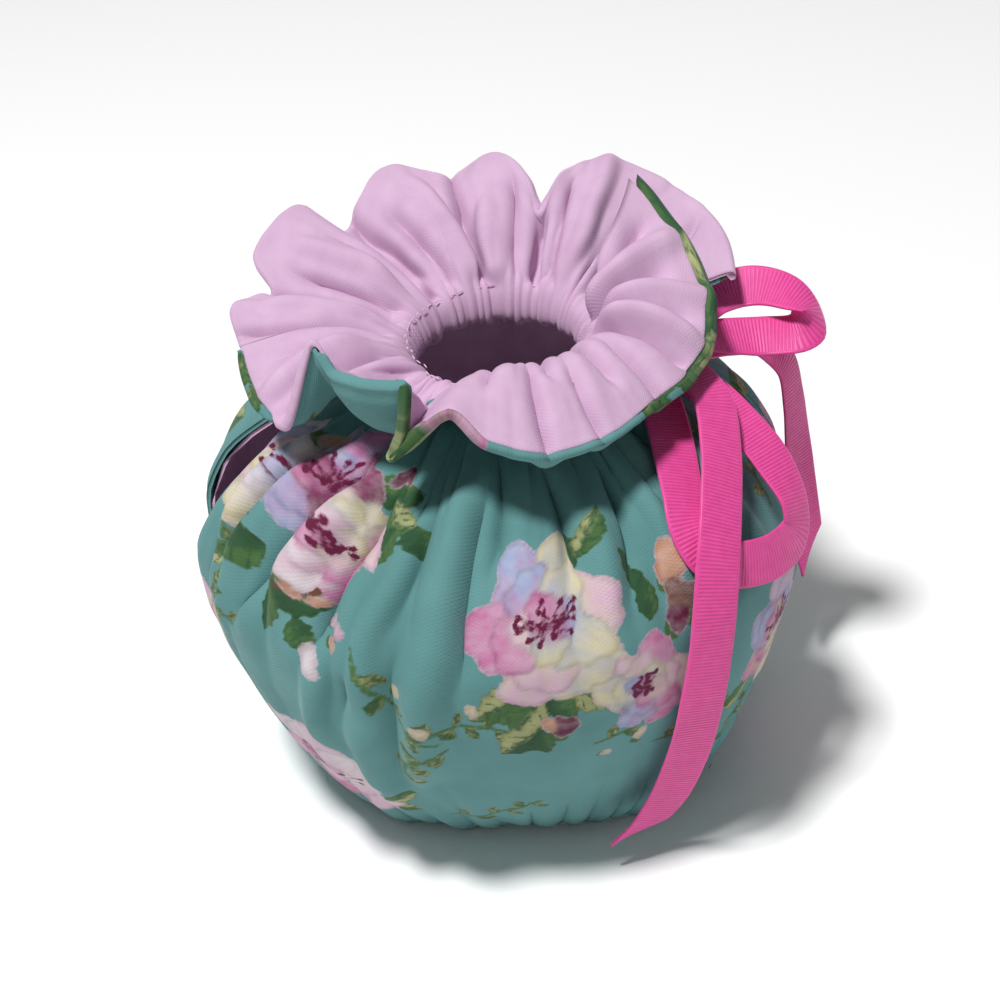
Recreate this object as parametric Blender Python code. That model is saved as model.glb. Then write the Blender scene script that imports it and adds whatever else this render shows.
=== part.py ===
"""Gathered tea cosy with a ruffled collar and a ribbon bow.

Z is up and the hem stands on z = 0.  The handle side is +X, the spout side is -X and the front is -Y.
Each half is one panel of cloth from hem to rim with a lining behind it.  All tables are in millimetres
and degrees.
"""
import math

import bmesh
import bpy
import numpy as np

MM = 0.001

# The middle of the cloth's box lies on the Z axis; the tables' own centre is this far off it
OFFSET = (-1.6, -0.2, 0.0)

# Cloth
COVER_THICK = 2.2        # printed cotton with its thin wadding
LINING_THICK = 1.0
LAYER_GAP = 0.4          # between cover and lining
SEAM_GAP = 0.34          # between the two halves where they are sewn edge to edge
LINING_START = 0.03      # the lining starts just above the hem, as a part of the body's outline
LINING_END = 0.92        # and stops short of the rim, where the cover turns over

# Neck
NECK_REACH = 23.0
NECK_HEIGHT = 121.0
TUBE_REACH = 25.5        # top of the drawn-in neck, where the ruffle starts
TUBE_HEIGHT = 129.0
NECK_CENTRE = (6.0, 3.0)

# Slits for the spout and the handle
SLIT_LOW = 0.34          # along the body's profile, hem 0 to neck 1
SLIT_HIGH = 0.90
HANDLE_SLIT_HALF = 8.5
SPOUT_SLIT_HALF = 9.5
TIE_GAP_HALF = 4.5       # at the neck on the handle side, where the ribbon comes out
TIE_START = 0.9          # along the body's profile, where the halves begin to part for it
SLIT_ROUND = 0.8         # below 1 the slits' ends are blunter

# Grid of each half
HALF_COLUMNS = 34
BODY_ROWS = 8
TUBE_ROWS = 1
RUFFLE_ROWS = 5

# About 1.5 mm along the cloth, in degrees and as a part of the body, the neck and the ruffle
TURN_STEP = 0.8
BODY_STEP = 0.01
TUBE_STEP = 0.18
RUFFLE_STEP = 0.03

# Ribbon
RIBBON_WIDTH = 12.0
RIBBON_THICK = 0.8
RIBBON_STEP = 4.0
RIBBON_CUT = 12.0        # how far the slanting cut at a ribbon's end runs
KNOT_CENTRE = (42.0, -5.0, 127.5)
KNOT_SIZE = (10.0, 14.0, 9.5)

# The body's outline from hem to neck: height, distance from the middle, and where the middle lies
OUTLINE_ROWS = (
    (0.0, 53.0, 4.0, 0.0),
    (3.0, 55.8, 3.6, 0.0),
    (9.0, 60.0, 3.2, 0.0),
    (20.0, 66.5, 3.0, 0.0),
    (34.0, 72.5, 3.0, 0.0),
    (50.0, 78.0, 2.8, 0.0),
    (66.0, 82.0, 2.0, 0.0),
    (79.0, 82.5, 1.2, 0.0),
    (92.0, 77.0, 1.8, 0.5),
    (102.0, 68.0, 3.0, 1.0),
    (110.0, 56.5, 4.0, 1.7),
    (116.0, 44.0, 4.8, 2.3),
    (119.5, 33.0, 5.5, 2.7),
    (NECK_HEIGHT, NECK_REACH, *NECK_CENTRE),
)

# How far the lower body stands out or in around the hem: angle, amount
PLAN_ROWS = (
    (0.0, 0.5),
    (45.0, 2.0),
    (90.0, -2.5),
    (135.0, 2.0),
    (180.0, 0.0),
    (205.0, 0.5),
    (230.0, 1.5),
    (250.0, -4.0),
    (270.0, -5.5),
    (288.0, -2.0),
    (310.0, 5.0),
    (335.0, 2.0),
    (360.0, 0.5),
)

# Gather folds are full at this height of the body's profile, and fade out over the rest up to the neck
GATHER_FULL = 0.88
PLAN_FADE = 4.0          # how fast the uneven hem turns round on the way up

# Gather folds that run down from the neck:
# angle at the neck, drift in degrees on the way down, depth, half width, reach down (1 neck, 0 hem)
GATHER_ROWS = (
    (14.0, 6.0, 3.0, 6.0, 0.55),
    (33.0, 4.0, 3.6, 6.5, 0.45),
    (52.0, 5.0, 3.0, 6.0, 0.50),
    (72.0, 3.0, 4.0, 7.0, 0.42),
    (93.0, -2.0, 3.2, 6.0, 0.52),
    (111.0, -4.0, 3.8, 6.5, 0.44),
    (131.0, -3.0, 3.0, 6.0, 0.50),
    (150.0, -6.0, 3.6, 6.5, 0.46),
    (167.0, -5.0, 3.0, 5.5, 0.52),
    (196.0, -2.0, 3.4, 6.0, 0.42),
    (211.0, -7.0, 4.2, 6.0, 0.34),
    (226.0, -10.0, 4.4, 6.0, 0.30),
    (241.0, -8.0, 3.8, 5.5, 0.34),
    (254.0, -4.0, 3.8, 5.0, 0.40),
    (267.0, -2.0, 3.4, 5.0, 0.46),
    (281.0, 2.0, 3.6, 5.5, 0.42),
    (297.0, 5.0, 3.6, 6.0, 0.44),
    (315.0, 7.0, 3.2, 6.0, 0.50),
    (338.0, 6.0, 3.0, 6.0, 0.52),
)

RUFFLE_SPREAD = 36.0     # how much wider the rim is than the neck, all round on average
ARCH_EARLY = 0.85        # below 1 the arch is highest on the neck's side of the middle

# The ruffle's rim, fold by fold, once round from the handle side:
# angle at the neck, angle at the rim, distance from the axis, height, arch of the cloth on the way
RUFFLE_ROWS_TABLE = (
    (0.0, 8.0, 71.0, 137.0, -2.0),
    (8.0, 22.0, 76.0, 140.0, -3.0),
    (20.0, 35.0, 79.0, 142.0, -2.0),
    (34.0, 46.0, 77.0, 147.0, 1.0),
    (47.0, 56.0, 70.0, 151.0, 3.0),
    (56.0, 61.0, 60.0, 151.0, 1.0),
    (62.0, 64.0, 49.0, 143.0, -3.0),
    (68.0, 69.0, 57.0, 148.0, 0.0),
    (79.0, 81.0, 70.0, 151.0, 4.0),
    (92.0, 92.0, 61.0, 149.0, -1.0),
    (105.0, 106.0, 71.0, 150.0, 4.0),
    (115.0, 117.0, 63.0, 146.0, 1.0),
    (123.0, 125.0, 58.0, 141.0, -2.0),
    (132.0, 132.0, 69.0, 149.0, 2.0),
    (146.0, 149.0, 67.0, 144.0, 3.0),
    (157.0, 158.0, 57.0, 138.0, 0.0),
    (167.0, 167.0, 65.0, 139.0, 3.0),
    (180.0, 180.0, 61.0, 134.0, 5.0),
    (198.0, 200.0, 61.0, 130.0, 8.0),
    (211.0, 213.0, 59.0, 129.0, 7.0),
    (219.0, 220.0, 51.0, 151.0, -9.0),
    (233.0, 235.0, 51.0, 148.0, -11.0),
    (243.0, 248.0, 53.0, 149.0, -7.0),
    (252.0, 252.0, 58.0, 131.0, 2.0),
    (261.0, 262.0, 55.0, 141.0, 5.0),
    (270.0, 271.0, 59.0, 135.0, 10.0),
    (285.0, 285.0, 62.0, 131.0, 11.0),
    (300.0, 300.0, 61.0, 130.0, 10.0),
    (314.0, 314.0, 58.5, 129.5, 9.0),
    (327.0, 328.0, 61.0, 129.0, 9.0),
    (340.0, 346.0, 63.0, 133.0, 10.0),
    (348.0, 361.0, 62.0, 137.0, 9.0),
    (354.0, 377.0, 61.0, 143.0, 8.0),
    (360.0, 397.0, 63.0, 150.0, 7.0),
)

# Ribbon routes from the knot, and which way the ribbon's face looks: x, y, z, then a direction
TAIL_FRONT_ROUTE = (
    (50.0, -12.5, 127.0, 0.3, -0.2, 0.9),
    (54.5, -18.5, 125.5, 0.3, -0.3, 0.9),
    (59.5, -28.0, 122.0, 0.4, -0.4, 0.8),
    (59.5, -42.0, 115.5, 0.4, -0.6, 0.6),
    (57.5, -54.5, 108.5, 0.4, -0.8, 0.5),
    (55.0, -66.0, 99.5, 0.3, -0.9, 0.3),
    (53.0, -72.5, 88.0, 0.3, -1.0, 0.2),
    (51.5, -75.0, 77.0, 0.3, -1.0, 0.1),
    (49.5, -76.0, 65.0, 0.2, -1.0, 0.0),
    (47.5, -75.0, 53.0, 0.2, -1.0, -0.1),
    (44.5, -73.0, 39.0, 0.2, -1.0, 0.0),
    (40.5, -71.0, 26.0, 0.2, -1.0, 0.1),
    (34.5, -69.5, 15.0, 0.2, -1.0, 0.2),
    (27.5, -68.5, 7.5, 0.2, -1.0, 0.3),
)
LOOP_FRONT_ROUTE = (
    (42.5, -12.8, 124.5, 0.2, -0.4, 0.9),
    (46.5, -22.0, 119.5, 0.3, -0.5, 0.8),
    (48.0, -37.0, 114.5, 0.3, -0.6, 0.7),
    (48.5, -50.0, 109.5, 0.4, -0.7, 0.6),
    (49.5, -59.0, 104.5, 0.3, -0.8, 0.5),
    (54.0, -63.5, 98.0, 0.3, -0.8, 0.5),
    (61.5, -62.0, 94.0, 0.4, -0.8, 0.4),
    (71.0, -56.0, 91.5, 0.5, -0.8, 0.4),
    (77.5, -48.0, 92.0, 0.7, -0.6, 0.3),
    (78.0, -43.0, 99.0, 0.7, -0.5, 0.4),
    (73.5, -36.0, 107.0, 0.5, -0.6, 0.6),
    (67.5, -28.5, 113.5, 0.4, -0.5, 0.7),
    (60.5, -19.5, 118.5, 0.3, -0.4, 0.8),
    (53.0, -11.0, 120.6, 0.1, -0.1, 1.0),
    (47.8, -7.5, 122.2, 0.0, 0.0, 1.0),
)
LOOP_BACK_ROUTE = (
    (47.8, -1.0, 126.5, 0.0, -0.2, 1.0),
    (57.0, 7.0, 125.5, 0.0, -0.2, 0.9),
    (67.0, 16.5, 127.0, 0.0, -0.4, 0.8),
    (77.0, 17.0, 129.0, 0.1, -0.6, 0.8),
    (86.0, 12.5, 128.5, 0.3, -0.5, 0.7),
    (92.5, 7.0, 124.5, 0.8, -0.3, 0.5),
    (88.0, 4.5, 120.5, 0.3, -0.5, 0.8),
    (79.0, 6.5, 119.0, 0.1, -0.5, 0.8),
    (69.0, 5.5, 120.5, 0.0, -0.4, 0.9),
    (58.0, 2.5, 123.3, 0.0, -0.2, 0.9),
    (47.8, -1.5, 124.9, 0.0, -0.1, 1.0),
)
TAIL_BACK_ROUTE = (
    (47.8, 0.5, 120.5, 0.2, 0.0, 0.9),
    (56.5, 5.5, 117.5, 0.3, 0.1, 0.9),
    (67.0, 12.5, 114.5, 0.3, 0.0, 0.9),
    (78.5, 19.0, 110.5, 0.4, -0.3, 0.8),
    (87.5, 20.5, 102.0, 0.8, -0.5, 0.4),
    (90.0, 18.5, 90.0, 0.8, -0.6, 0.1),
    (91.0, 16.5, 76.0, 0.7, -0.7, 0.0),
    (92.0, 14.5, 61.0, 0.6, -0.8, 0.0),
    (93.5, 12.5, 47.0, 0.6, -0.8, 0.0),
    (95.5, 10.5, 35.0, 0.7, -0.7, -0.1),
)

COVER_COLOUR = (0.204, 0.462, 0.418, 1.0)
LINING_COLOUR = (0.680, 0.330, 0.560, 1.0)
RIBBON_COLOUR = (0.880, 0.040, 0.330, 1.0)


def read_rows(rows, column, places, key=0):
    """Read a column of a table at any places, along a smooth curve that never overshoots its rows."""
    table = np.array(rows, dtype=float)
    x = table[:, key]
    y = table[:, column]
    step = np.diff(x)
    slope = np.diff(y) / step
    tangent = np.zeros_like(y)
    same = slope[:-1] * slope[1:] > 0.0
    before = 2.0 * step[1:] + step[:-1]
    after = step[1:] + 2.0 * step[:-1]
    with np.errstate(divide="ignore", invalid="ignore"):
        blend = (before + after) / (before / slope[:-1] + after / slope[1:])
    tangent[1:-1] = np.where(same, blend, 0.0)
    tangent[0] = slope[0]
    tangent[-1] = slope[-1]
    places = np.clip(places, x[0], x[-1])
    i = np.clip(np.searchsorted(x, places, side="right") - 1, 0, len(step) - 1)
    t = (places - x[i]) / step[i]
    rise = (2 * t**3 - 3 * t**2 + 1) * y[i] + (3 * t**2 - 2 * t**3) * y[i + 1]
    return rise + step[i] * ((t**3 - 2 * t**2 + t) * tangent[i] + (t**3 - t**2) * tangent[i + 1])


def outline(s):
    """Height, reach and middle of the body at s, 0 at the hem and 1 at the neck."""
    table = np.array(OUTLINE_ROWS)
    length = np.r_[0.0, np.cumsum(np.hypot(*np.diff(table[:, :2], axis=0).T))]
    rows = np.column_stack([length / length[-1], table])
    return [read_rows(rows, column, s) for column in range(1, 5)]


def slit_half_angle(s, widest):
    """Half the opening of a slit, in degrees, at s along the body."""
    along = np.clip((s - SLIT_LOW) / (SLIT_HIGH - SLIT_LOW), 0.0, 1.0)
    return widest * np.sin(np.pi * along) ** SLIT_ROUND


def body_points(angle, s):
    """Middle surface of the cloth on the body."""
    height, reach, centre_x, centre_y = outline(s)
    turn = np.mod(angle, 360.0)
    reach = reach + read_rows(PLAN_ROWS, 1, turn) * (1.0 - s) ** PLAN_FADE
    for at, drift, depth, width, down in GATHER_ROWS:
        fade = np.clip((s - down) / (GATHER_FULL - down), 0.0, 1.0)
        fade = fade * np.clip((1.0 - s) / (1.0 - GATHER_FULL), 0.0, 1.0)
        away = turn - at - drift * (1.0 - s)
        away = np.mod(away + 180.0, 360.0) - 180.0
        reach = reach - depth * fade * np.exp(-((away / width) ** 2))
    radians = np.radians(angle)
    x = centre_x + reach * np.cos(radians)
    y = centre_y + reach * np.sin(radians)
    return np.stack([x, y, height + 0.0 * angle], axis=-1)


def neck_points(angle, height, reach):
    radians = np.radians(angle)
    x = NECK_CENTRE[0] + reach * np.cos(radians)
    y = NECK_CENTRE[1] + reach * np.sin(radians)
    return np.stack([x, y, height + 0.0 * angle], axis=-1)


def ruffle_points(angle, w):
    """Middle surface of the ruffle, w is 0 at the top of the neck and 1 at the rim."""
    rim_angle = np.radians(read_rows(RUFFLE_ROWS_TABLE, 1, angle))
    reach = read_rows(RUFFLE_ROWS_TABLE, 2, angle)
    height = read_rows(RUFFLE_ROWS_TABLE, 3, angle)
    arch = read_rows(RUFFLE_ROWS_TABLE, 4, angle)
    start = neck_points(angle, TUBE_HEIGHT, TUBE_REACH)
    end = np.stack([reach * np.cos(rim_angle), reach * np.sin(rim_angle), height], axis=-1)
    chord = end - start
    flat = np.hypot(chord[..., 0], chord[..., 1])
    length = np.hypot(flat, chord[..., 2])
    lean = chord[..., 2] / length
    normal = np.stack(
        [-lean * chord[..., 0] / flat, -lean * chord[..., 1] / flat, flat / length], axis=-1
    )
    hump = np.sin(np.pi * w**ARCH_EARLY)
    return start + chord * w[..., None] + normal * (arch * hump)[..., None]


def cloth_points(angle, v):
    """Middle surface of the cloth: v is 0 to 1 on the body, 1 to 2 up the neck, 2 to 3 on the ruffle."""
    body = body_points(angle, np.clip(v, 0.0, 1.0))
    up = np.clip(v - 1.0, 0.0, 1.0)
    neck = neck_points(
        angle,
        NECK_HEIGHT + (TUBE_HEIGHT - NECK_HEIGHT) * up,
        NECK_REACH + (TUBE_REACH - NECK_REACH) * up**2,
    )
    ruffle = ruffle_points(angle, np.clip(v - 2.0, 0.0, 1.0))
    points = np.where((v <= 1.0)[..., None], body, neck)
    return np.where((v > 2.0)[..., None], ruffle, points)


def seam_angle(v):
    """Half the sewing gap as an angle, in degrees, at v."""
    reach = outline(np.clip(v, 0.0, 1.0))[1]
    reach = np.where(v > 1.0, TUBE_REACH + RUFFLE_SPREAD * np.clip(v - 2.0, 0.0, 1.0), reach)
    return np.degrees(0.5 * SEAM_GAP / reach)


def half_grid(start, end, rows, start_slit, end_slit, start_tie, end_tie):
    """Angles and v values of one half, its side edges drawn back along the slits."""
    v = np.array(rows)
    s = np.clip(v, 0.0, 1.0)
    tie = np.clip((v - TIE_START) / (1.0 - TIE_START), 0.0, 1.0) * np.sqrt(np.clip(3.0 - v, 0.0, 1.0))
    first = start + seam_angle(v) + slit_half_angle(s, start_slit) + start_tie * tie
    last = end - seam_angle(v) - slit_half_angle(s, end_slit) - end_tie * tie
    across = np.linspace(0.0, 1.0, HALF_COLUMNS + 1)
    angle = first[:, None] + (last - first)[:, None] * across[None, :]
    return angle, np.repeat(v[:, None], HALF_COLUMNS + 1, axis=1)


def outward(angle, v):
    """Unit normals on the cover's side of the cloth."""
    ahead = np.select([v < 1.0, v < 2.0], [BODY_STEP, TUBE_STEP], RUFFLE_STEP)
    behind = np.select([v <= 1.0, v <= 2.0], [BODY_STEP, TUBE_STEP], RUFFLE_STEP)
    along = cloth_points(angle + TURN_STEP, v) - cloth_points(angle - TURN_STEP, v)
    above = cloth_points(angle, np.clip(v + ahead, 0.0, 3.0))
    up = above - cloth_points(angle, np.clip(v - behind, 0.0, 3.0))
    normal = np.cross(along, up)
    return normal / np.linalg.norm(normal, axis=-1, keepdims=True)


def closed_layer(name, inner, outer, material):
    """One closed solid between two grids of points."""
    rows, columns = inner.shape[:2]
    count = rows * columns
    points = np.concatenate([inner.reshape(-1, 3), outer.reshape(-1, 3)])

    def index(row, column, side):
        return side * count + row * columns + column

    faces = []
    for row in range(rows - 1):
        for column in range(columns - 1):
            a, b = index(row, column, 1), index(row, column + 1, 1)
            c, d = index(row + 1, column + 1, 1), index(row + 1, column, 1)
            faces += [(a, b, c), (a, c, d)]
            a, b = index(row, column, 0), index(row, column + 1, 0)
            c, d = index(row + 1, column + 1, 0), index(row + 1, column, 0)
            faces += [(c, b, a), (d, c, a)]
    for column in range(columns - 1):
        low = (index(0, column, 0), index(0, column + 1, 0), index(0, column + 1, 1), index(0, column, 1))
        top = rows - 1
        high = (
            index(top, column, 1),
            index(top, column + 1, 1),
            index(top, column + 1, 0),
            index(top, column, 0),
        )
        faces += [low, high]
    for row in range(rows - 1):
        last = columns - 1
        left = (index(row, 0, 1), index(row + 1, 0, 1), index(row + 1, 0, 0), index(row, 0, 0))
        right = (index(row, last, 0), index(row + 1, last, 0), index(row + 1, last, 1), index(row, last, 1))
        faces += [left, right]
    return add_object(name, points, faces, material)


def add_object(name, points, faces, material):
    mesh = bpy.data.meshes.new(name)
    points = (points + np.array(OFFSET)) * MM
    mesh.from_pydata([tuple(point) for point in points], [], faces)
    mesh.materials.append(material)
    mesh.validate()
    mesh.shade_smooth()
    mesh.set_sharp_from_angle(angle=math.radians(50.0))
    item = bpy.data.objects.new(name, mesh)
    bpy.context.scene.collection.objects.link(item)
    return item


def add_material(name, colour, roughness):
    material = bpy.data.materials.new(name)
    material.use_nodes = True
    shader = material.node_tree.nodes["Principled BSDF"]
    shader.inputs["Base Color"].default_value = colour
    shader.inputs["Roughness"].default_value = roughness
    shader.inputs["Metallic"].default_value = 0.0
    return material


def add_half(side, cover_material, lining_material):
    """The cover and the lining of the front or the back half."""
    if side == "front":
        ends = (180.0, 360.0)
        slits = (SPOUT_SLIT_HALF, HANDLE_SLIT_HALF)
        ties = (0.0, TIE_GAP_HALF)
    else:
        ends = (0.0, 180.0)
        slits = (HANDLE_SLIT_HALF, SPOUT_SLIT_HALF)
        ties = (TIE_GAP_HALF, 0.0)
    body = np.linspace(0.0, 1.0, BODY_ROWS + 1) ** 0.9
    tube = 1.0 + np.arange(1, TUBE_ROWS + 1) / TUBE_ROWS
    ruffle = 2.0 + np.linspace(0.0, LINING_END, RUFFLE_ROWS)[1:]
    rows = np.concatenate([[0.0, LINING_START], body[1:], tube, ruffle, [3.0]])
    angle, v = half_grid(*ends, rows, *slits, *ties)
    middle = cloth_points(angle, v)
    normal = outward(angle, v)
    half_gap = 0.5 * LAYER_GAP
    near = middle + normal * half_gap
    far = middle + normal * (half_gap + COVER_THICK)
    for layer in (near, far):
        layer[..., 2] = np.maximum(layer[..., 2], 0.0)
        layer[0, :, 2] = 0.0
    closed_layer("cover_" + side, near, far, cover_material)
    near = middle - normal * (half_gap + LINING_THICK)
    far = middle - normal * half_gap
    closed_layer("lining_" + side, near[1:-1], far[1:-1], lining_material)


def smooth_route(route, spacing):
    """Rows at even spacing on a smooth curve through a route's rows."""
    route = np.array(route)
    extended = np.vstack([2 * route[0] - route[1], route, 2 * route[-1] - route[-2]])
    share = np.linspace(0.0, 1.0, 24, endpoint=False)[:, None]
    dense = []
    for a, b, c, d in zip(extended, extended[1:], extended[2:], extended[3:]):
        curve = 2 * b + (c - a) * share + (2 * a - 5 * b + 4 * c - d) * share**2
        dense.append(0.5 * (curve + (3 * b - a - 3 * c + d) * share**3))
    dense = np.vstack(dense + [route[-1:]])
    along = np.r_[0.0, np.cumsum(np.linalg.norm(np.diff(dense[:, :3], axis=0), axis=1))]
    places = np.linspace(0.0, along[-1], round(along[-1] / spacing) + 1)
    return np.column_stack([np.interp(places, along, column) for column in dense.T])


def add_ribbon(name, route, material, cut=0.0):
    """A flat strip along a route, its face turned the way the route says, its end cut at a slant."""
    rows = smooth_route(route, RIBBON_STEP)
    line = rows[:, :3]
    ahead = np.gradient(line, axis=0)
    ahead /= np.linalg.norm(ahead, axis=1, keepdims=True)
    across = np.cross(rows[:, 3:], ahead)
    across /= np.linalg.norm(across, axis=1, keepdims=True)
    half_width = across * 0.5 * RIBBON_WIDTH
    half_thick = np.cross(ahead, across) * 0.5 * RIBBON_THICK
    to_end = RIBBON_STEP * np.arange(len(line) - 1, -1, -1)[:, None]
    short_edge = half_width * (np.clip(to_end / max(cut, MM), 0.05, 1.0) * 2.0 - 1.0 if cut else 1.0)
    corners = (
        line - half_width - half_thick,
        line + short_edge - half_thick,
        line + short_edge + half_thick,
        line - half_width + half_thick,
    )
    count = len(line)
    last = count - 1
    faces = [(3 * count, 2 * count, count, 0), (last, count + last, 2 * count + last, 3 * count + last)]
    for i in range(last):
        for side in range(4):
            a = side * count + i
            b = (side + 1) % 4 * count + i
            faces.append((a, b, b + 1, a + 1))
    return add_object(name, np.concatenate(corners), faces, material)


def add_knot(name, material):
    """The knot, a small wad of ribbon drawn in across its middle."""
    mesh = bpy.data.meshes.new(name)
    shape = bmesh.new()
    bmesh.ops.create_uvsphere(shape, u_segments=12, v_segments=8, radius=0.5)
    for vertex in shape.verts:
        waist = 1.0 - 0.2 * math.cos(math.pi * vertex.co.y)
        vertex.co.x *= KNOT_SIZE[0] * waist
        vertex.co.y *= KNOT_SIZE[1]
        vertex.co.z *= KNOT_SIZE[2] * waist
    bmesh.ops.scale(shape, vec=(MM, MM, MM), verts=shape.verts)
    centre = [MM * (place + off) for place, off in zip(KNOT_CENTRE, OFFSET)]
    bmesh.ops.translate(shape, vec=centre, verts=shape.verts)
    shape.to_mesh(mesh)
    shape.free()
    mesh.materials.append(material)
    mesh.shade_smooth()
    knot = bpy.data.objects.new(name, mesh)
    bpy.context.scene.collection.objects.link(knot)


def main():
    for item in list(bpy.data.objects):
        bpy.data.objects.remove(item, do_unlink=True)
    cotton = add_material("printed_cotton", COVER_COLOUR, 0.85)
    lining = add_material("plain_cotton", LINING_COLOUR, 0.85)
    grosgrain = add_material("grosgrain", RIBBON_COLOUR, 0.55)
    add_half("front", cotton, lining)
    add_half("back", cotton, lining)
    add_ribbon("ribbon_tail_front", TAIL_FRONT_ROUTE, grosgrain, RIBBON_CUT)
    add_ribbon("ribbon_tail_back", TAIL_BACK_ROUTE, grosgrain, RIBBON_CUT)
    add_ribbon("ribbon_loop_front", LOOP_FRONT_ROUTE, grosgrain)
    add_ribbon("ribbon_loop_back", LOOP_BACK_ROUTE, grosgrain)
    add_knot("ribbon_knot", grosgrain)


main()
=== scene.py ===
import math

import bpy
import numpy as np
from mathutils import Matrix, Vector


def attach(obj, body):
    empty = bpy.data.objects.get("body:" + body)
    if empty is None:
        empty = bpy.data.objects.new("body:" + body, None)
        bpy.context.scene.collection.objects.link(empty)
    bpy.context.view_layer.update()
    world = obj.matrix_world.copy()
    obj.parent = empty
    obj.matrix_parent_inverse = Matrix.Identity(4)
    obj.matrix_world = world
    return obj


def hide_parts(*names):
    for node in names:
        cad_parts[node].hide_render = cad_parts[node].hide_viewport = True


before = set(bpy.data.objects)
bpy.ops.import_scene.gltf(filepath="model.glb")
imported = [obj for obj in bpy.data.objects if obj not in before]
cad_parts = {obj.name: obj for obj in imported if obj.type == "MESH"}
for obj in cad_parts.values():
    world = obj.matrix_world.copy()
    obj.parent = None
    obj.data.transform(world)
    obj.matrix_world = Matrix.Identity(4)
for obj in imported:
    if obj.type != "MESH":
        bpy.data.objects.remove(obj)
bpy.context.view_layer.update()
print("frame loaded")

mm = 0.001
tableShift = np.array((-1.6, -0.2, 0.0))  # the tables' centre is this far off the frame's axis
noiseTable = (97, 89)                     # lumps of noise before it repeats


# small helpers

def hexColour(code):
    parts = [int(code[i:i + 2], 16) / 255.0 for i in (1, 3, 5)]
    return tuple(p / 12.92 if p <= 0.04045 else ((p + 0.055) / 1.055) ** 2.4 for p in parts) + (1.0,)


def addNode(tree, kind, inputs=None, **settings):
    # inputs: socket name or number -> a value, or another node's output to link
    node = tree.nodes.new(kind)
    for name, value in settings.items():
        setattr(node, name, value)
    for socket, value in (inputs or {}).items():
        if isinstance(value, bpy.types.NodeSocket):
            tree.links.new(value, node.inputs[socket])
        else:
            node.inputs[socket].default_value = value
    return node


def addMath(tree, operation, *values):
    return addNode(tree, "ShaderNodeMath", dict(enumerate(values)), operation=operation).outputs[0]


def readRows(rows, column, places, key=0):
    # a smooth curve through a table's rows that never overshoots them
    table = np.array(rows, dtype=float)
    x = table[:, key]
    y = table[:, column]
    step = np.diff(x)
    slope = np.diff(y) / step
    tangent = np.zeros_like(y)
    same = slope[:-1] * slope[1:] > 0.0
    before = 2.0 * step[1:] + step[:-1]
    after = step[1:] + 2.0 * step[:-1]
    with np.errstate(divide="ignore", invalid="ignore"):
        blend = (before + after) / (before / slope[:-1] + after / slope[1:])
    tangent[1:-1] = np.where(same, blend, 0.0)
    tangent[0] = slope[0]
    tangent[-1] = slope[-1]
    places = np.clip(places, x[0], x[-1])
    i = np.clip(np.searchsorted(x, places, side="right") - 1, 0, len(step) - 1)
    t = (places - x[i]) / step[i]
    rise = (2 * t**3 - 3 * t**2 + 1) * y[i] + (3 * t**2 - 2 * t**3) * y[i + 1]
    return rise + step[i] * ((t**3 - 2 * t**2 + t) * tangent[i] + (t**3 - t**2) * tangent[i + 1])


def smooth(x, low=0.0, high=1.0):
    t = np.clip((x - low) / (high - low), 0.0, 1.0)
    return t * t * (3.0 - 2.0 * t)


def softNoise(x, y, seed):
    # smooth noise from -1 to 1, one lump per unit; x and y are grids or plain numbers
    wide, tall = noiseTable
    table = np.random.default_rng(seed).uniform(-1.0, 1.0, noiseTable)
    i = np.floor(x).astype(int)
    j = np.floor(y).astype(int)
    fx = smooth(x - i)
    fy = smooth(y - j)
    left, right = i % wide, (i + 1) % wide
    below, above = j % tall, (j + 1) % tall
    low = table[left, below] * (1 - fx) + table[right, below] * fx
    high = table[left, above] * (1 - fx) + table[right, above] * fx
    return low * (1 - fy) + high * fy


def wrapped(degrees):
    return np.mod(degrees + 180.0, 360.0) - 180.0


def addItem(name, data):
    item = bpy.data.objects.new(name, data)
    bpy.context.scene.collection.objects.link(item)
    return item


def addMesh(name, points, faces, material, uv):
    mesh = bpy.data.meshes.new(name)
    mesh.from_pydata(((points + tableShift) * mm).tolist(), [], faces)
    mesh.materials.append(material)
    mesh.shade_smooth()
    layer = mesh.uv_layers.new(name="cloth")
    corners = np.empty(len(mesh.loops), dtype=np.int32)
    mesh.loops.foreach_get("vertex_index", corners)
    layer.data.foreach_set("uv", uv[corners].astype(np.float32).ravel())
    return addItem(name, mesh)


# camera

cameraValues = {
    "target": (-1.6, -0.2, 64.0),   # mm
    "distance": 520.0,
    "elevation": 36.0,              # degrees above the table
    "roll": -5.5,
    "lens": 65.15,                  # mm on a 36 mm sensor
    "shift": (0.007, 0.04),
}


def addCamera(values):
    lens = bpy.data.cameras.new("camera")
    lens.sensor_width = 36.0
    lens.lens = values["lens"]
    lens.shift_x, lens.shift_y = values["shift"]
    lens.clip_start = 0.01
    item = addItem("camera", lens)
    rise = math.radians(values["elevation"])
    roll = math.radians(values["roll"])
    forward = Vector((0.0, math.cos(rise), -math.sin(rise)))
    right = Vector((1.0, 0.0, 0.0))
    up = right.cross(forward)
    turnedRight = right * math.cos(roll) + up * math.sin(roll)
    turnedUp = up * math.cos(roll) - right * math.sin(roll)
    place = Matrix((turnedRight, turnedUp, -forward)).transposed().to_4x4()
    place.translation = (Vector(values["target"]) - forward * values["distance"]) * mm
    item.matrix_world = place
    bpy.context.scene.camera = item


addCamera(cameraValues)
print("camera set")

# ribbon

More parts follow.
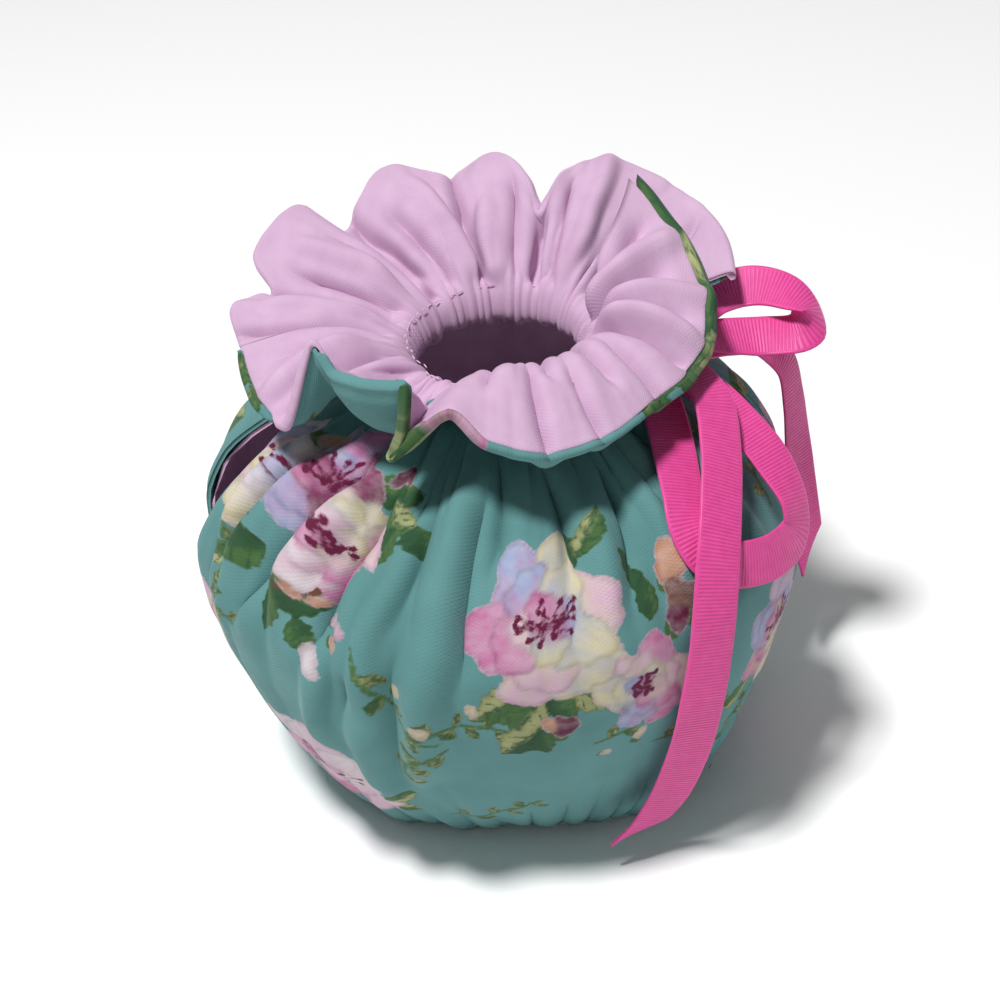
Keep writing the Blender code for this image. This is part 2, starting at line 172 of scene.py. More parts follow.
ribbonValues = {
    "width": 12.0,
    "thickness": 0.8,
    "selvedge": 0.9,      # flat edge without ribs
    "ribSpacing": 0.95,   # real ribs stand about 0.7 apart; coarser so that they show
    "cut": 12.0,          # how far a tail's slanting end runs
    "step": 1.0,
    "knotCentre": (42.0, -5.0, 127.5),
    "knotSize": (10.0, 14.0, 9.5),
    "colour": "#EE58A8",
    # the deeper tone, used for painted shade between the ribs and for a random mottle
    "shadeAndMottleTone": "#BE2068",
}

# routes from the knot, and which way the ribbon's face looks: x, y, z, then a direction
tailFrontRoute = (
    (50, -12.5, 127, 0.3, -0.2, 0.9),
    (54.5, -18.5, 125.5, 0.3, -0.3, 0.9),
    (59.5, -28, 122, 0.4, -0.4, 0.8),
    (59.5, -42, 115.5, 0.4, -0.6, 0.6),
    (57.5, -54.5, 108.5, 0.4, -0.8, 0.5),
    (55, -66, 99.5, 0.3, -0.9, 0.3),
    (53, -72.5, 88, 0.3, -1, 0.2),
    (51.5, -75, 77, 0.3, -1, 0.1),
    (49.5, -76, 65, 0.2, -1, 0),
    (47.5, -75, 53, 0.2, -1, -0.1),
    (44.5, -73, 39, 0.2, -1, 0),
    (40.5, -71, 26, 0.25, -1, -0.1),
    (34.5, -69.5, 15, 0.35, -0.9, -0.3),
    (27.5, -68.5, 7.5, 0.48, -0.76, -0.46),
)
loopFrontRoute = (
    (42.5, -12.8, 124.5, 0.2, -0.4, 0.9),
    (46.5, -22, 119.5, 0.3, -0.5, 0.8),
    (48, -37, 114.5, 0.3, -0.6, 0.7),
    (48.5, -50, 109.5, 0.4, -0.7, 0.6),
    (49.5, -59, 104.5, 0.3, -0.8, 0.5),
    (54, -63.5, 98, 0.3, -0.8, 0.5),
    (61.5, -62, 94, 0.4, -0.8, 0.4),
    (71, -56, 91.5, 0.5, -0.8, 0.4),
    (77.5, -48, 92, 0.7, -0.6, 0.3),
    (78, -43, 99, 0.7, -0.5, 0.4),
    (73.5, -36, 107, 0.5, -0.6, 0.6),
    (67.5, -28.5, 113.5, 0.4, -0.5, 0.7),
    (60.5, -19.5, 118.5, 0.3, -0.4, 0.8),
    (53, -11, 120.6, 0.1, -0.1, 1),
    (47.8, -7.5, 122.2, 0, 0, 1),
)
loopBackRoute = (
    (47.8, -1, 126.5, 0, -0.2, 1),
    (57, 7, 125.5, 0, -0.2, 0.9),
    (67, 16.5, 127, 0, -0.4, 0.8),
    (77, 17, 129, 0.1, -0.6, 0.8),
    (86, 12.5, 128.5, 0.3, -0.5, 0.7),
    (92.5, 7, 124.5, 0.8, -0.3, 0.5),
    (88, 4.5, 120.5, 0.3, -0.5, 0.8),
    (79, 6.5, 119, 0.1, -0.5, 0.8),
    (69, 5.5, 120.5, 0, -0.4, 0.9),
    (58, 2.5, 123.3, 0, -0.2, 0.9),
    (47.8, -1.5, 124.9, 0, -0.1, 1),
)
tailBackRoute = (
    (47.8, 0.5, 120.5, 0.2, 0, 0.9),
    (56.5, 5.5, 117.5, 0.3, 0.1, 0.9),
    (67, 12.5, 114.5, 0.3, 0, 0.9),
    (78.5, 19, 110.5, 0.4, -0.3, 0.8),
    (87.5, 20.5, 102, 0.8, -0.5, 0.4),
    (90, 18.5, 90, 0.8, -0.6, 0.1),
    (91, 16.5, 76, 0.7, -0.7, 0),
    (92, 14.5, 61, 0.6, -0.8, 0),
    (93.5, 12.5, 47, 0.6, -0.8, 0),
    (95.5, 10.5, 35, 0.7, -0.7, -0.1),
)


def clothMaterial(name, roughness, sheen, sheenTint):
    material = bpy.data.materials.new(name)
    material.use_nodes = True
    tree = material.node_tree
    shader = tree.nodes["Principled BSDF"]
    shader.inputs["Roughness"].default_value = roughness
    shader.inputs["IOR"].default_value = 1.5
    shader.inputs["Specular IOR Level"].default_value = 0.3
    shader.inputs["Sheen Weight"].default_value = sheen
    shader.inputs["Sheen Roughness"].default_value = 0.45
    shader.inputs["Sheen Tint"].default_value = hexColour(sheenTint)
    return material, tree, shader


def grosgrainMaterial(values):
    # polyester grosgrain, woven with thick wefts: crosswise ribs that catch the light through a bump and
    # through painted shade between them, a random mottle, a flat selvedge
    material, tree, shader = clothMaterial("wovenGrosgrain", 0.42, 0.35, "#FFA0E0")
    place = addNode(tree, "ShaderNodeUVMap", uv_map="cloth")
    parts = addNode(tree, "ShaderNodeSeparateXYZ", {0: place.outputs["UV"]})
    turns = addMath(tree, "MULTIPLY", parts.outputs["X"], 2.0 * math.pi / values["ribSpacing"])
    wave = addMath(tree, "SINE", turns)
    reach = addMath(tree, "ABSOLUTE", parts.outputs["Y"])
    inner = 0.5 * values["width"] - values["selvedge"]
    ribbed = addNode(
        tree, "ShaderNodeMapRange",
        {
            "Value": reach, "From Min": inner, "From Max": inner + 0.25,
            "To Min": 1.0, "To Max": 0.0,
        },
    )
    ribs = addMath(tree, "MULTIPLY", wave, ribbed.outputs[0])
    grain = addNode(
        tree, "ShaderNodeTexNoise", {"Vector": place.outputs["UV"], "Scale": 0.35, "Detail": 3.0},
    )
    # painted shade: the colour goes towards the deeper tone between the ribs, and the noise adds a random
    # mottle
    shade = addMath(tree, "MULTIPLY_ADD", ribs, 0.22, 0.42)
    paintedRibShadeAndMottle = addMath(tree, "MULTIPLY_ADD", grain.outputs["Fac"], 0.5, shade)
    colour = addNode(
        tree, "ShaderNodeMix",
        {"Factor": paintedRibShadeAndMottle, 6: hexColour(values["shadeAndMottleTone"]), 7: hexColour(values["colour"])},
        data_type="RGBA",
    )
    tree.links.new(colour.outputs[2], shader.inputs["Base Color"])
    bump = addNode(
        tree, "ShaderNodeBump", {"Height": ribs, "Strength": 0.5, "Distance": 0.12 * mm},
    )
    tree.links.new(bump.outputs["Normal"], shader.inputs["Normal"])
    return material


def smoothRoute(route, spacing):
    # rows at even spacing on a smooth curve through a route's rows
    route = np.array(route)
    extended = np.vstack([2 * route[0] - route[1], route, 2 * route[-1] - route[-2]])
    share = np.linspace(0.0, 1.0, 24, endpoint=False)[:, None]
    dense = []
    for a, b, c, d in zip(extended, extended[1:], extended[2:], extended[3:]):
        curve = 2 * b + (c - a) * share + (2 * a - 5 * b + 4 * c - d) * share**2
        dense.append(0.5 * (curve + (3 * b - a - 3 * c + d) * share**3))
    dense = np.vstack(dense + [route[-1:]])
    along = np.r_[0.0, np.cumsum(np.linalg.norm(np.diff(dense[:, :3], axis=0), axis=1))]
    places = np.linspace(0.0, along[-1], round(along[-1] / spacing) + 1)
    return np.column_stack([np.interp(places, along, column) for column in dense.T])


def ringFaces(count, size):
    # the skin from each ring of points to the next
    pairs = [(i * size + k, i * size + (k + 1) % size) for i in range(count - 1) for k in range(size)]
    return [(a, a + size, b + size, b) for a, b in pairs]


def addRibbon(name, route, material, values, cut=False, seed=1):
    rows = smoothRoute(route, values["step"])
    line = rows[:, :3]
    ahead = np.gradient(line, axis=0)
    ahead /= np.linalg.norm(ahead, axis=1, keepdims=True)
    across = np.cross(rows[:, 3:], ahead)
    across /= np.linalg.norm(across, axis=1, keepdims=True)
    face = np.cross(ahead, across)
    half = 0.5 * values["width"]
    share = np.array((-1.0, -0.93, -0.8, -0.55, -0.28, 0.0, 0.28, 0.55, 0.8, 0.93, 1.0))
    along = np.arange(len(line)) * values["step"]
    wave = 0.35 * softNoise(along / 17.0, 0.0, seed)  # the strip isn't quite flat
    ends = smooth(along, 0.0, 8.0) * smooth(along[-1] - along, 0.0, 8.0)
    lift = (wave * ends)[:, None] * share[None, :] ** 2 - 0.15 * ends[:, None] * (share**2)[None, :]
    thick = 0.5 * values["thickness"] * (1.0 - 0.35 * smooth(np.abs(share), 0.9, 1.0))
    reach = np.repeat(half * share[None, :], len(line), axis=0)
    if cut:
        toEnd = along[-1] - along
        limit = half * (np.clip(toEnd / values["cut"], 0.04, 1.0) * 2.0 - 1.0)
        reach = -half + (reach + half) * ((limit + half) / (2.0 * half))[:, None]
    middle = line[:, None, :] + across[:, None, :] * reach[..., None] + face[:, None, :] * lift[..., None]
    top = middle + face[:, None, :] * thick[None, :, None]
    under = middle - face[:, None, :] * thick[None, :, None]
    ring = np.concatenate([top, under[:, ::-1]], axis=1)
    count, size = ring.shape[:2]
    points = ring.reshape(-1, 3)
    faces = ringFaces(count, size)
    columns = len(share)
    for base, order in ((0, 1), ((count - 1) * size, -1)):
        for k in range(columns - 1):
            cap = (base + k, base + k + 1, base + size - 2 - k, base + size - 1 - k)
            faces.append(cap[::order])
    uvAlong = np.repeat(along[:, None], size, axis=1)
    uvAcross = np.concatenate([reach, reach[:, ::-1]], axis=1)
    uv = np.stack([uvAlong, uvAcross], axis=-1).reshape(-1, 2)
    strip = addMesh(name, points, faces, material, uv)
    full = along <= along[-1] - (0.5 * values["cut"] if cut else 0.0)  # a slanting end has no middle
    return strip, (line[full] + tableShift) * mm, along[full][-1] * mm


def addKnot(name, centre, size, material):
    # the ribbon's own turn round the bow, drawn in across its middle and pleated lengthwise
    turns, steps = 72, 40
    theta = np.linspace(0.0, 2.0 * np.pi, turns, endpoint=False)
    phi = np.linspace(0.0, np.pi, steps + 1)[1:-1]
    grid, turn = np.meshgrid(phi, theta, indexing="ij")
    y = -np.cos(grid)
    waist = 1.0 - 0.2 * np.cos(0.5 * np.pi * y)
    pleat = 1.0 + 0.035 * np.sin(9.0 * turn + 2.0 * y) + 0.02 * np.sin(23.0 * turn + 3.0)
    thickness = np.sin(grid) ** 0.7 * waist * pleat * 0.5
    points = np.stack(
        [size[0] * thickness * np.cos(turn), size[1] * 0.5 * y, size[2] * thickness * np.sin(turn)], axis=-1
    )
    flat = points.reshape(-1, 3)
    low = len(flat)
    flat = np.vstack([flat, (0.0, -0.5 * size[1], 0.0), (0.0, 0.5 * size[1], 0.0)]) + np.array(centre)
    faces = ringFaces(len(phi), turns)
    last = (len(phi) - 1) * turns
    for k in range(turns):
        faces.append((low, k, (k + 1) % turns))
        faces.append((low + 1, last + (k + 1) % turns, last + k))
    uv = np.stack([flat[:, 1] - centre[1], np.zeros(len(flat))], axis=-1)
    return addMesh(name, flat, faces, material, uv)


grosgrain = grosgrainMaterial(ribbonValues)
knot = addKnot("knot", ribbonValues["knotCentre"], ribbonValues["knotSize"], grosgrain)
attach(knot, "root")
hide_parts("ribbon_knot")

for name, node, route, cut, farEnd, held in (
    ("tailFront", "ribbon_tail_front", tailFrontRoute, True, "bare", [knot]),
    ("loopFront", "ribbon_loop_front", loopFrontRoute, False, "object", []),
    ("loopBack", "ribbon_loop_back", loopBackRoute, False, "object", []),
    ("tailBack", "ribbon_tail_back", tailBackRoute, True, "bare", []),
):
    strip, path, length = addRibbon(name, route, grosgrain, ribbonValues, cut, seed=len(name))
    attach(strip, "root")
    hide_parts(node)
    print("ribbon", name, round(length * 1000), "mm")

# cloth

clothValues = {
    "coverThick": 2.2,
    "liningThick": 1.0,
    "layerGap": 0.4,
    "seamGap": 0.08,
    "columns": 300,
    "bodyRows": 190,
    "tubeRows": 12,
    "ruffleRows": 58,
    "neckPleats": 44,        # fine gathers drawn up on the neck's stitching
    "pleatDepth": 1.3,
    "bodyGathers": 34,       # longer gathers that run down the body
    "gatherDepth": 4.4,
    "ruffleGathers": 30,
    "ruffleDepth": 2.2,
    "hemPleats": 38,         # small gathers over the drawn-in hem
    "hemDepth": 2.3,
    "wrinkle": 0.6,
    "lumps": 0.5,
    "creaseDepth": 2.8,      # times the amounts in creaseRows
    "ruffleCreaseDepth": 2.3,
    "ruffleCreaseWidth": 0.85,
    "scallop": 1.4,          # how unevenly the hem stands
    "endDrawn": {"Front": 1.6, "Back": 0.0},  # columns by which the ruffle's end shows only its lining
}
neckReach, neckHeight = 23.0, 121.0
tubeReach, tubeHeight = 25.5, 129.0
pleatMiddle = 0.6        # the level that a row of pleats stands out and in from
ruffleSpread = 36.0      # how far the rim stands out from the neck
mapReach = 60.0          # the cloth's flat map is as wide as at this distance from the middle
neckCentre = (6.0, 3.0)
slitLow, slitHigh = 0.34, 0.90
handleSlitHalf, spoutSlitHalf, tieGapHalf = 8.5, 9.5, 1.5

# the body's outline from hem to neck: height, distance from the middle, and where the middle lies
outlineRows = (
    (0, 53, 4, 0),
    (3, 55.8, 3.6, 0),
    (9, 60, 3.2, 0),
    (20, 66.5, 3, 0),
    (34, 72.5, 3, 0),
    (50, 78, 2.8, 0),
    (66, 82, 2, 0),
    (79, 82.5, 1.2, 0),
    (92, 77, 1.8, 0.5),
    (102, 68, 3, 1),
    (110, 56.5, 4, 1.7),
    (116, 44, 4.8, 2.3),
    (119.5, 33, 5.5, 2.7),
    (neckHeight, neckReach, *neckCentre),
)
outlineLength = np.r_[0.0, np.cumsum(np.hypot(*np.diff(np.array(outlineRows)[:, :2], axis=0).T))]
outlineTable = np.column_stack([outlineLength / outlineLength[-1], np.array(outlineRows)])
bodyLength, tubeLength, ruffleLength = outlineLength[-1], 8.4, 50.0

# how far the lower body stands out or in around the hem: angle, amount
planRows = (
    (0, 0.5), (45, 2), (90, -2.5), (135, 2), (180, 0), (205, 0.5), (230, 1.5),
    (250, -4), (270, -5.5), (288, -2), (310, 5), (335, 2), (360, 0.5),
)

# gather folds: angle at the neck, drift on the way down, depth, half width, reach down (1 neck, 0 hem)
gatherRows = (
    (14, 6, 3, 6, 0.55),
    (33, 4, 3.6, 6.5, 0.45),
    (52, 5, 3, 6, 0.50),
    (72, 3, 4, 7, 0.42),
    (93, -2, 3.2, 6, 0.52),
    (111, -4, 3.8, 6.5, 0.44),
    (131, -3, 3, 6, 0.50),
    (150, -6, 3.6, 6.5, 0.46),
    (167, -5, 3, 5.5, 0.52),
    (196, -2, 3.4, 6, 0.42),
    (211, -7, 4.2, 6, 0.34),
    (226, -10, 4.4, 6, 0.30),
    (241, -8, 3.8, 5.5, 0.34),
    (254, -4, 3.8, 5, 0.40),
    (267, -2, 3.4, 5, 0.46),
    (281, 2, 3.6, 5.5, 0.42),
    (297, 5, 3.6, 6, 0.44),
    (315, 7, 3.2, 6, 0.50),
    (338, 6, 3, 6, 0.52),
)

# how many degrees the body's gathers lean on the way down: at these angles, this much
leanTable = (
    (0, 90, 180, 215, 245, 290, 330, 360),
    (6, 0, -4, -10, -7, 1, 7, 6),
)

# soft creases on the body: angle and height at both ends, half width in mm, how far it stands out (+) or in
creaseRows = (
    (259, 114, 257, 84, 4, 1.6),
    (257, 90, 247, 34, 5, 1.7),
    (263, 112, 260, 76, 3.2, -1.6),
    (239, 102, 244, 66, 4, 1.3),
    (244, 72, 237, 20, 4.5, 1.5),
    (250, 86, 247, 50, 5, -1.2),
    (233, 112, 221, 84, 3.6, 2.2),
    (227, 111, 215, 88, 3, -2),
    (217, 114, 207, 84, 3.6, 1.9),
    (205, 113, 199, 88, 3.2, 1.8),
    (210, 112, 203, 86, 3, -1.6),
    (240, 108, 232, 76, 3.2, -1.5),
    (283, 114, 283, 98, 2.4, -1.6),
    (299, 112, 294, 92, 2.4, -1.7),
    (270, 115, 267, 100, 2.4, -1.6),
    (314, 110, 318, 88, 3.2, -1.3),
    (232, 60, 226, 26, 6, 0.9),
    (249, 108, 243, 84, 2.2, 1.1),
    (222, 104, 212, 78, 2.2, -1.2),
    (212, 98, 206, 66, 2.6, 1),
    (200, 100, 196, 60, 2.6, -1),
    (236, 84, 229, 52, 2.6, 1),
    (243, 92, 238, 62, 2.2, -0.9),
    (291, 110, 288, 84, 2.4, 0.8),
    (306, 110, 305, 84, 2.4, 0.9),
    (322, 108, 325, 80, 2.6, 1),
)

# creases on the ruffle, valleys (+) or ridges (-) on the lining's side:
# neck angle, drift towards the rim, where it starts and ends (0 neck, 1 rim), half width in mm, depth
ruffleCreaseRows = (
    (62, 0, 0, 1, 3, 1.6),
    (74, 0, 0.1, 0.9, 2.2, 1.5),
    (84, 0, 0, 0.7, 2.6, -1.2),
    (92, 0, 0.1, 1.1, 2.4, 2),
    (99, 2, 0.1, 0.9, 2.6, -1.3),
    (110, 3, 0, 0.8, 2.2, 1.6),
    (117, 3, 0.2, 1.1, 2.2, 1.6),
    (124, 2, 0, 1.1, 2.6, 2),
    (138, 3, 0.2, 0.9, 2.6, -1.2),
    (148, 3, 0, 0.8, 2.2, 1.4),
    (157, 1, 0, 1.1, 2.4, 2),
    (167, 0, 0.2, 0.9, 2.4, -1.2),
    (176, 0, 0.1, 1.1, 2.2, 1.7),
    (188, 2, 0.1, 0.8, 2.4, 1.4),
    (197, 3, 0.3, 1, 3, -1.3),
    (206, 3, 0.1, 1, 2.4, 1.6),
    (223, 0, 0.15, 0.95, 1.8, -1.8),
    (240, 2, 0.3, 0.9, 1.8, -1.2),
    (268, 0, 0.1, 0.7, 2.4, 1.2),
    (283, 1, 0.35, 1.1, 2.4, 1.8),
    (290, 1, 0.1, 0.6, 2.2, 1.2),
    (296, 2, 0.5, 1.1, 2, 1.2),
    (308, 2, 0.1, 0.8, 2.4, 1.3),
    (320, 0, 0.4, 1.1, 2.4, 1.5),
    (331, 0, 0.1, 1, 2.2, 2),
    (336.5, 0, 0.2, 1, 1.8, -1.6),
    (341, 0, 0, 0.9, 1.8, 2.2),
    (345.5, 0, 0.2, 1.1, 1.6, -1.4),
    (349, 0, 0, 0.8, 1.5, 2.2),
    (353, 0, 0.1, 1, 1.4, -1.8),
    (355.5, 0, 0, 0.9, 1.2, 2),
    (12, 2, 0.1, 1, 2.4, 1.6),
    (27, 2, 0.1, 0.9, 2.4, 1.8),
    (41, 2, 0.2, 1.1, 2.4, -1.3),
    (51, 1, 0, 0.9, 2, 1.7),
)

# the ruffle's rim, fold by fold, once round from the handle side:
# angle at the neck, angle at the rim, distance from the axis, height, arch of the cloth on the way
ruffleTable = (
    (0, 8, 71, 137, -2),
    (8, 22, 76, 140, -3),
    (20, 35, 79, 142, -2),
    (34, 46, 77, 147, 1),
    (47, 56, 70, 151, 3),
    (56, 61, 60, 151, 1),
    (62, 64, 49, 143, -3),
    (68, 69, 57, 148, 0),
    (79, 81, 70, 151, 4),
    (92, 92, 61, 149, -1),
    (105, 106, 71, 150, 4),
    (115, 117, 63, 146, 1),
    (123, 125, 58, 141, -2),
    (132, 132, 69, 149, 2),
    (146, 149, 67, 144, 3),
    (157, 158, 57, 138, 0),
    (167, 167, 65, 139, 3),
    (180, 180, 61, 134, 5),
    (198, 200, 61, 130, 8),
    (211, 213, 59, 129, 7),
    (218.5, 219.5, 51, 152, -9),
    (225, 227, 52, 145.5, -10),
    (234, 238, 52, 145.5, -11),
    (243, 250.5, 53, 148, -7),
    (247.5, 250, 56, 139, -2),
    (252.5, 247, 59, 130.5, 3),
    (261, 262, 55, 141, 5),
    (270, 271, 59, 135, 10),
    (285, 285, 62, 131, 11),
    (300, 300, 61, 130, 10),
    (314, 314, 58.5, 129.5, 9),
    (327, 328, 61, 129, 9),
    (340, 346, 63, 133, 10),
    (348, 362, 62, 138, 9),
    (354, 381, 61.5, 145.5, 8),
    (360, 404, 65, 153, 7),
)

# how far the cover is turned over the lining at the rim, or the lining over the cover (-):
# angle at the neck, millimetres
turnRows = (
    (0, -1.4), (176, -1.5), (184, 0.8), (199, 1.6), (205, 1), (209, -1.2), (218, -1.2),
    (222, 0.2), (240, 0.2), (246, 1.6), (256, 1.6), (262, 0.2), (308, 0.2), (324, 2), (360, 3.2),
)


def outline(s):
    return [readRows(outlineTable, column, s) for column in range(1, 5)]


def bodyPoints(angle, s):
    height, reach, centreX, centreY = outline(s)
    turn = np.mod(angle, 360.0)
    reach = reach + readRows(planRows, 1, turn) * (1.0 - s) ** 4
    for at, drift, depth, width, down in gatherRows:
        fade = np.clip((s - down) / (0.88 - down), 0.0, 1.0) * np.clip((1.0 - s) / 0.12, 0.0, 1.0)
        away = wrapped(turn - at - drift * (1.0 - s))
        soft, sharp = np.exp(-((away / width) ** 2)), np.exp(-((away / (0.4 * width)) ** 2))
        reach = reach - depth * fade * (0.6 * soft + 0.8 * sharp)
    radians = np.radians(angle)
    x = centreX + reach * np.cos(radians)
    y = centreY + reach * np.sin(radians)
    return np.stack([x, y, height], axis=-1)


def neckPoints(angle, height, reach):
    radians = np.radians(angle)
    x = neckCentre[0] + reach * np.cos(radians)
    y = neckCentre[1] + reach * np.sin(radians)
    return np.stack([x, y, height + 0.0 * angle], axis=-1)


def rufflePoints(angle, w):
    rimAngle = np.radians(readRows(ruffleTable, 1, angle))
    reach = readRows(ruffleTable, 2, angle)
    height = readRows(ruffleTable, 3, angle)
    arch = readRows(ruffleTable, 4, angle)
    start = neckPoints(angle, tubeHeight, tubeReach)
    end = np.stack([reach * np.cos(rimAngle), reach * np.sin(rimAngle), height], axis=-1)
    chord = end - start
    flat = np.hypot(chord[..., 0], chord[..., 1])
    length = np.hypot(flat, chord[..., 2])
    lean = chord[..., 2] / length
    normal = np.stack([-lean * chord[..., 0] / flat, -lean * chord[..., 1] / flat, flat / length], axis=-1)
    hump = np.sin(np.pi * w**0.85)
    return start + chord * w[..., None] + normal * (arch * hump)[..., None]


def clothPoints(angle, v):
    # v is 0 to 1 on the body, 1 to 2 up the neck, 2 to 3 on the ruffle
    body = bodyPoints(angle, np.clip(v, 0.0, 1.0))
    up = np.clip(v - 1.0, 0.0, 1.0)
    neck = neckPoints(
        angle, neckHeight + (tubeHeight - neckHeight) * up, neckReach + (tubeReach - neckReach) * up**2
    )
    ruffle = rufflePoints(angle, np.clip(v - 2.0, 0.0, 1.0))
    points = np.where((v <= 1.0)[..., None], body, neck)
    return np.where((v > 2.0)[..., None], ruffle, points)


def arcLength(v):
    # millimetres of cloth from the hem
    ruffle = bodyLength + tubeLength + ruffleLength * np.clip(v - 2.0, 0.0, 1.0)
    tube = bodyLength + tubeLength * np.clip(v - 1.0, 0.0, 1.0)
    return np.where(v > 2.0, ruffle, np.where(v > 1.0, tube, bodyLength * v))


def clothReach(v):
    # distance from the middle, for widths along the cloth
    body = outline(np.clip(v, 0.0, 1.0))[1]
    return np.where(v > 1.0, tubeReach + ruffleSpread * np.clip(v - 2.0, 0.0, 1.0), body)


def heightToV(height):
    table = np.array(outlineRows)
    return np.interp(height, table[:, 0], outlineTable[:, 0])


def pleatWave(angle, count, seed):
    # rounded ridges with narrow valleys between them, unevenly spaced and deep: 0 in a valley, 1 on a ridge
    phase = angle * count / 360.0 + 0.8 * softNoise(angle / 13.0, seed, seed)
    phase = phase + 0.3 * softNoise(angle / 5.0, seed, seed + 20)
    depth = 0.72 + 0.4 * softNoise(phase * 0.6, seed, seed + 40)
    return pleatMiddle + depth * (np.abs(np.sin(np.pi * phase)) ** 0.65 - pleatMiddle)


def neckGathers(turn, arc, values):
    pleats = pleatWave(turn, values["neckPleats"], 3)
    longer = 14.0 + 15.0 * (0.5 + 0.5 * softNoise(turn * values["neckPleats"] / 360.0, 0.0, 8))
    below = smooth(arc, bodyLength - longer, bodyLength - 2.0)
    above = 1.0 - smooth(arc, bodyLength + tubeLength + 2.0, bodyLength + tubeLength + 0.9 * longer)
    return values["pleatDepth"] * (pleats - pleatMiddle) * below * above


def bodyGathers(turn, arc, v, values):
    # longer gathers, which lean with the folds
    lean = np.interp(turn, *leanTable)
    leaning = turn - lean * (1.0 - np.clip(v, 0.0, 1.0))
    gathers = pleatWave(leaning, values["bodyGathers"], 14)
    each = 68.0 + 38.0 * softNoise(leaning * values["bodyGathers"] / 360.0, 0.0, 15)
    fade = smooth(arc, bodyLength - each, bodyLength - 0.25 * each)
    fade = fade * (1.0 - smooth(arc, bodyLength - 5.0, bodyLength + 2.0))
    return values["gatherDepth"] * (gathers - pleatMiddle) * fade


def ruffleGathers(turn, w, values):
    # here the lining's side has the narrow valleys
    radiating = pleatWave(turn + 1.5 * softNoise(w * 2.0, 0.0, 19), values["ruffleGathers"], 16)
    long = 0.55 + 0.4 * softNoise(turn * values["ruffleGathers"] / 360.0, 0.0, 17)
    fade = smooth(w, 0.0, 0.18) * (1.0 - smooth(w, 0.4 * long, long))
    return values["ruffleDepth"] * (pleatMiddle - radiating) * fade


def ruffleCrease(turn, w, row, values):
    at, drift, start, end, width, amount = row
    aside = np.radians(wrapped(turn - at - drift * w)) * (tubeReach + ruffleSpread * w)
    aside = aside + 0.5 * softNoise(w * 5.0, at, 18)
    taper = smooth(w, start - 0.12, start + 0.15) * (1.0 - smooth(w, end - 0.2, end + 0.05))
    depth = values["ruffleCreaseDepth"] * amount
    narrow = values["ruffleCreaseWidth"] * width
    return depth * (taper * smooth(w, 0.0, 0.14)) * np.exp(-((aside / narrow) ** 2))


def hemGathers(turn, arc, values):
    pleats = pleatWave(turn, values["hemPleats"], 5)
    fade = 1.0 - smooth(arc, 12.0, 50.0 + 14.0 * softNoise(turn / 7.0, 0.0, 9))
    return values["hemDepth"] * (pleats - pleatMiddle) * fade


def bodyCrease(turn, arc, row, values):
    angleA, heightA, angleB, heightB, width, amount = row
    arcA, arcB = bodyLength * heightToV(heightA), bodyLength * heightToV(heightB)
    reach = clothReach(0.5 * (heightToV(heightA) + heightToV(heightB)))
    dx, dy = math.radians(angleB - angleA) * reach, arcB - arcA
    length = math.hypot(dx, dy)
    x = np.radians(wrapped(turn - angleA)) * reach
    y = arc - arcA
    along = (x * dx + y * dy) / length
    aside = (x * dy - y * dx) / length + 1.2 * softNoise(along / 14.0, width, 12)
    taper = smooth(along, -6.0, 0.3 * length) * (1.0 - smooth(along, 0.6 * length, length + 4.0))
    return values["creaseDepth"] * amount * taper * np.exp(-((aside / width) ** 2))


def clothDetail(angle, v, values):
    # what the tables' smooth shape lacks, in mm outwards: gathers, creases and small wrinkles
    turn = np.mod(angle, 360.0)
    arc = arcLength(v)
    w = np.clip(v - 2.0, 0.0, 1.0)
    out = neckGathers(turn, arc, values) + bodyGathers(turn, arc, v, values) + ruffleGathers(turn, w, values)
    for row in ruffleCreaseRows:
        out = out + ruffleCrease(turn, w, row, values) * (v > 2.0)
    out = out + hemGathers(turn, arc, values)
    for row in creaseRows:
        out = out + bodyCrease(turn, arc, row, values) * (v < 1.0)
    onRuffle = smooth(v, 2.05, 2.5)
    onBody = 1.0 - smooth(v, 0.9, 1.0)
    radial = softNoise(turn / 5.0, arc / 26.0, 21) + 0.5 * softNoise(turn / 2.4, arc / 15.0, 22)
    out = out + values["wrinkle"] * radial * (onBody * 0.9 + onRuffle * 0.9)
    lumps = softNoise(turn / 14.0, arc / 17.0, 23)
    return out + values["lumps"] * lumps * (onBody + onRuffle)


def halfGrid(start, end, v, columns, slits, ties, seamGap):
    # angles of one half, its side edges drawn back along the slits
    s = np.clip(v, 0.0, 1.0)
    along = np.clip((s - slitLow) / (slitHigh - slitLow), 0.0, 1.0)
    parted = np.sin(np.pi * along) ** 0.8
    tie = np.clip((v - 0.9) / 0.1, 0.0, 1.0) * np.sqrt(np.clip(3.0 - v, 0.0, 1.0))
    seam = np.degrees(0.5 * seamGap / clothReach(v))
    first = start + seam + slits[0] * parted + ties[0] * tie
    last = end - seam - slits[1] * parted - ties[1] * tie
    share = np.linspace(0.0, 1.0, columns + 1)
    angle = first[:, None] + (last - first)[:, None] * share[None, :]
    return angle, np.repeat(v[:, None], columns + 1, axis=1)


def blurred(grid, passes, axis):
    # a running average along the rows or the columns that keeps the edges
    for _ in range(passes):
        grid = np.swapaxes(grid, 0, axis)
        inner = 0.25 * grid[:-2] + 0.5 * grid[1:-1] + 0.25 * grid[2:]
        grid = np.concatenate([grid[:1], inner, grid[-1:]])
        grid = np.swapaxes(grid, 0, axis)
    return grid


def gridNormals(points, passes):
    along = np.gradient(points, axis=1)
    up = np.gradient(points, axis=0)
    normal = np.cross(along, up)
    normal /= np.maximum(np.linalg.norm(normal, axis=-1, keepdims=True), 1e-9)
    normal = blurred(blurred(normal, passes, 0), passes, 1)
    return normal / np.linalg.norm(normal, axis=-1, keepdims=True)


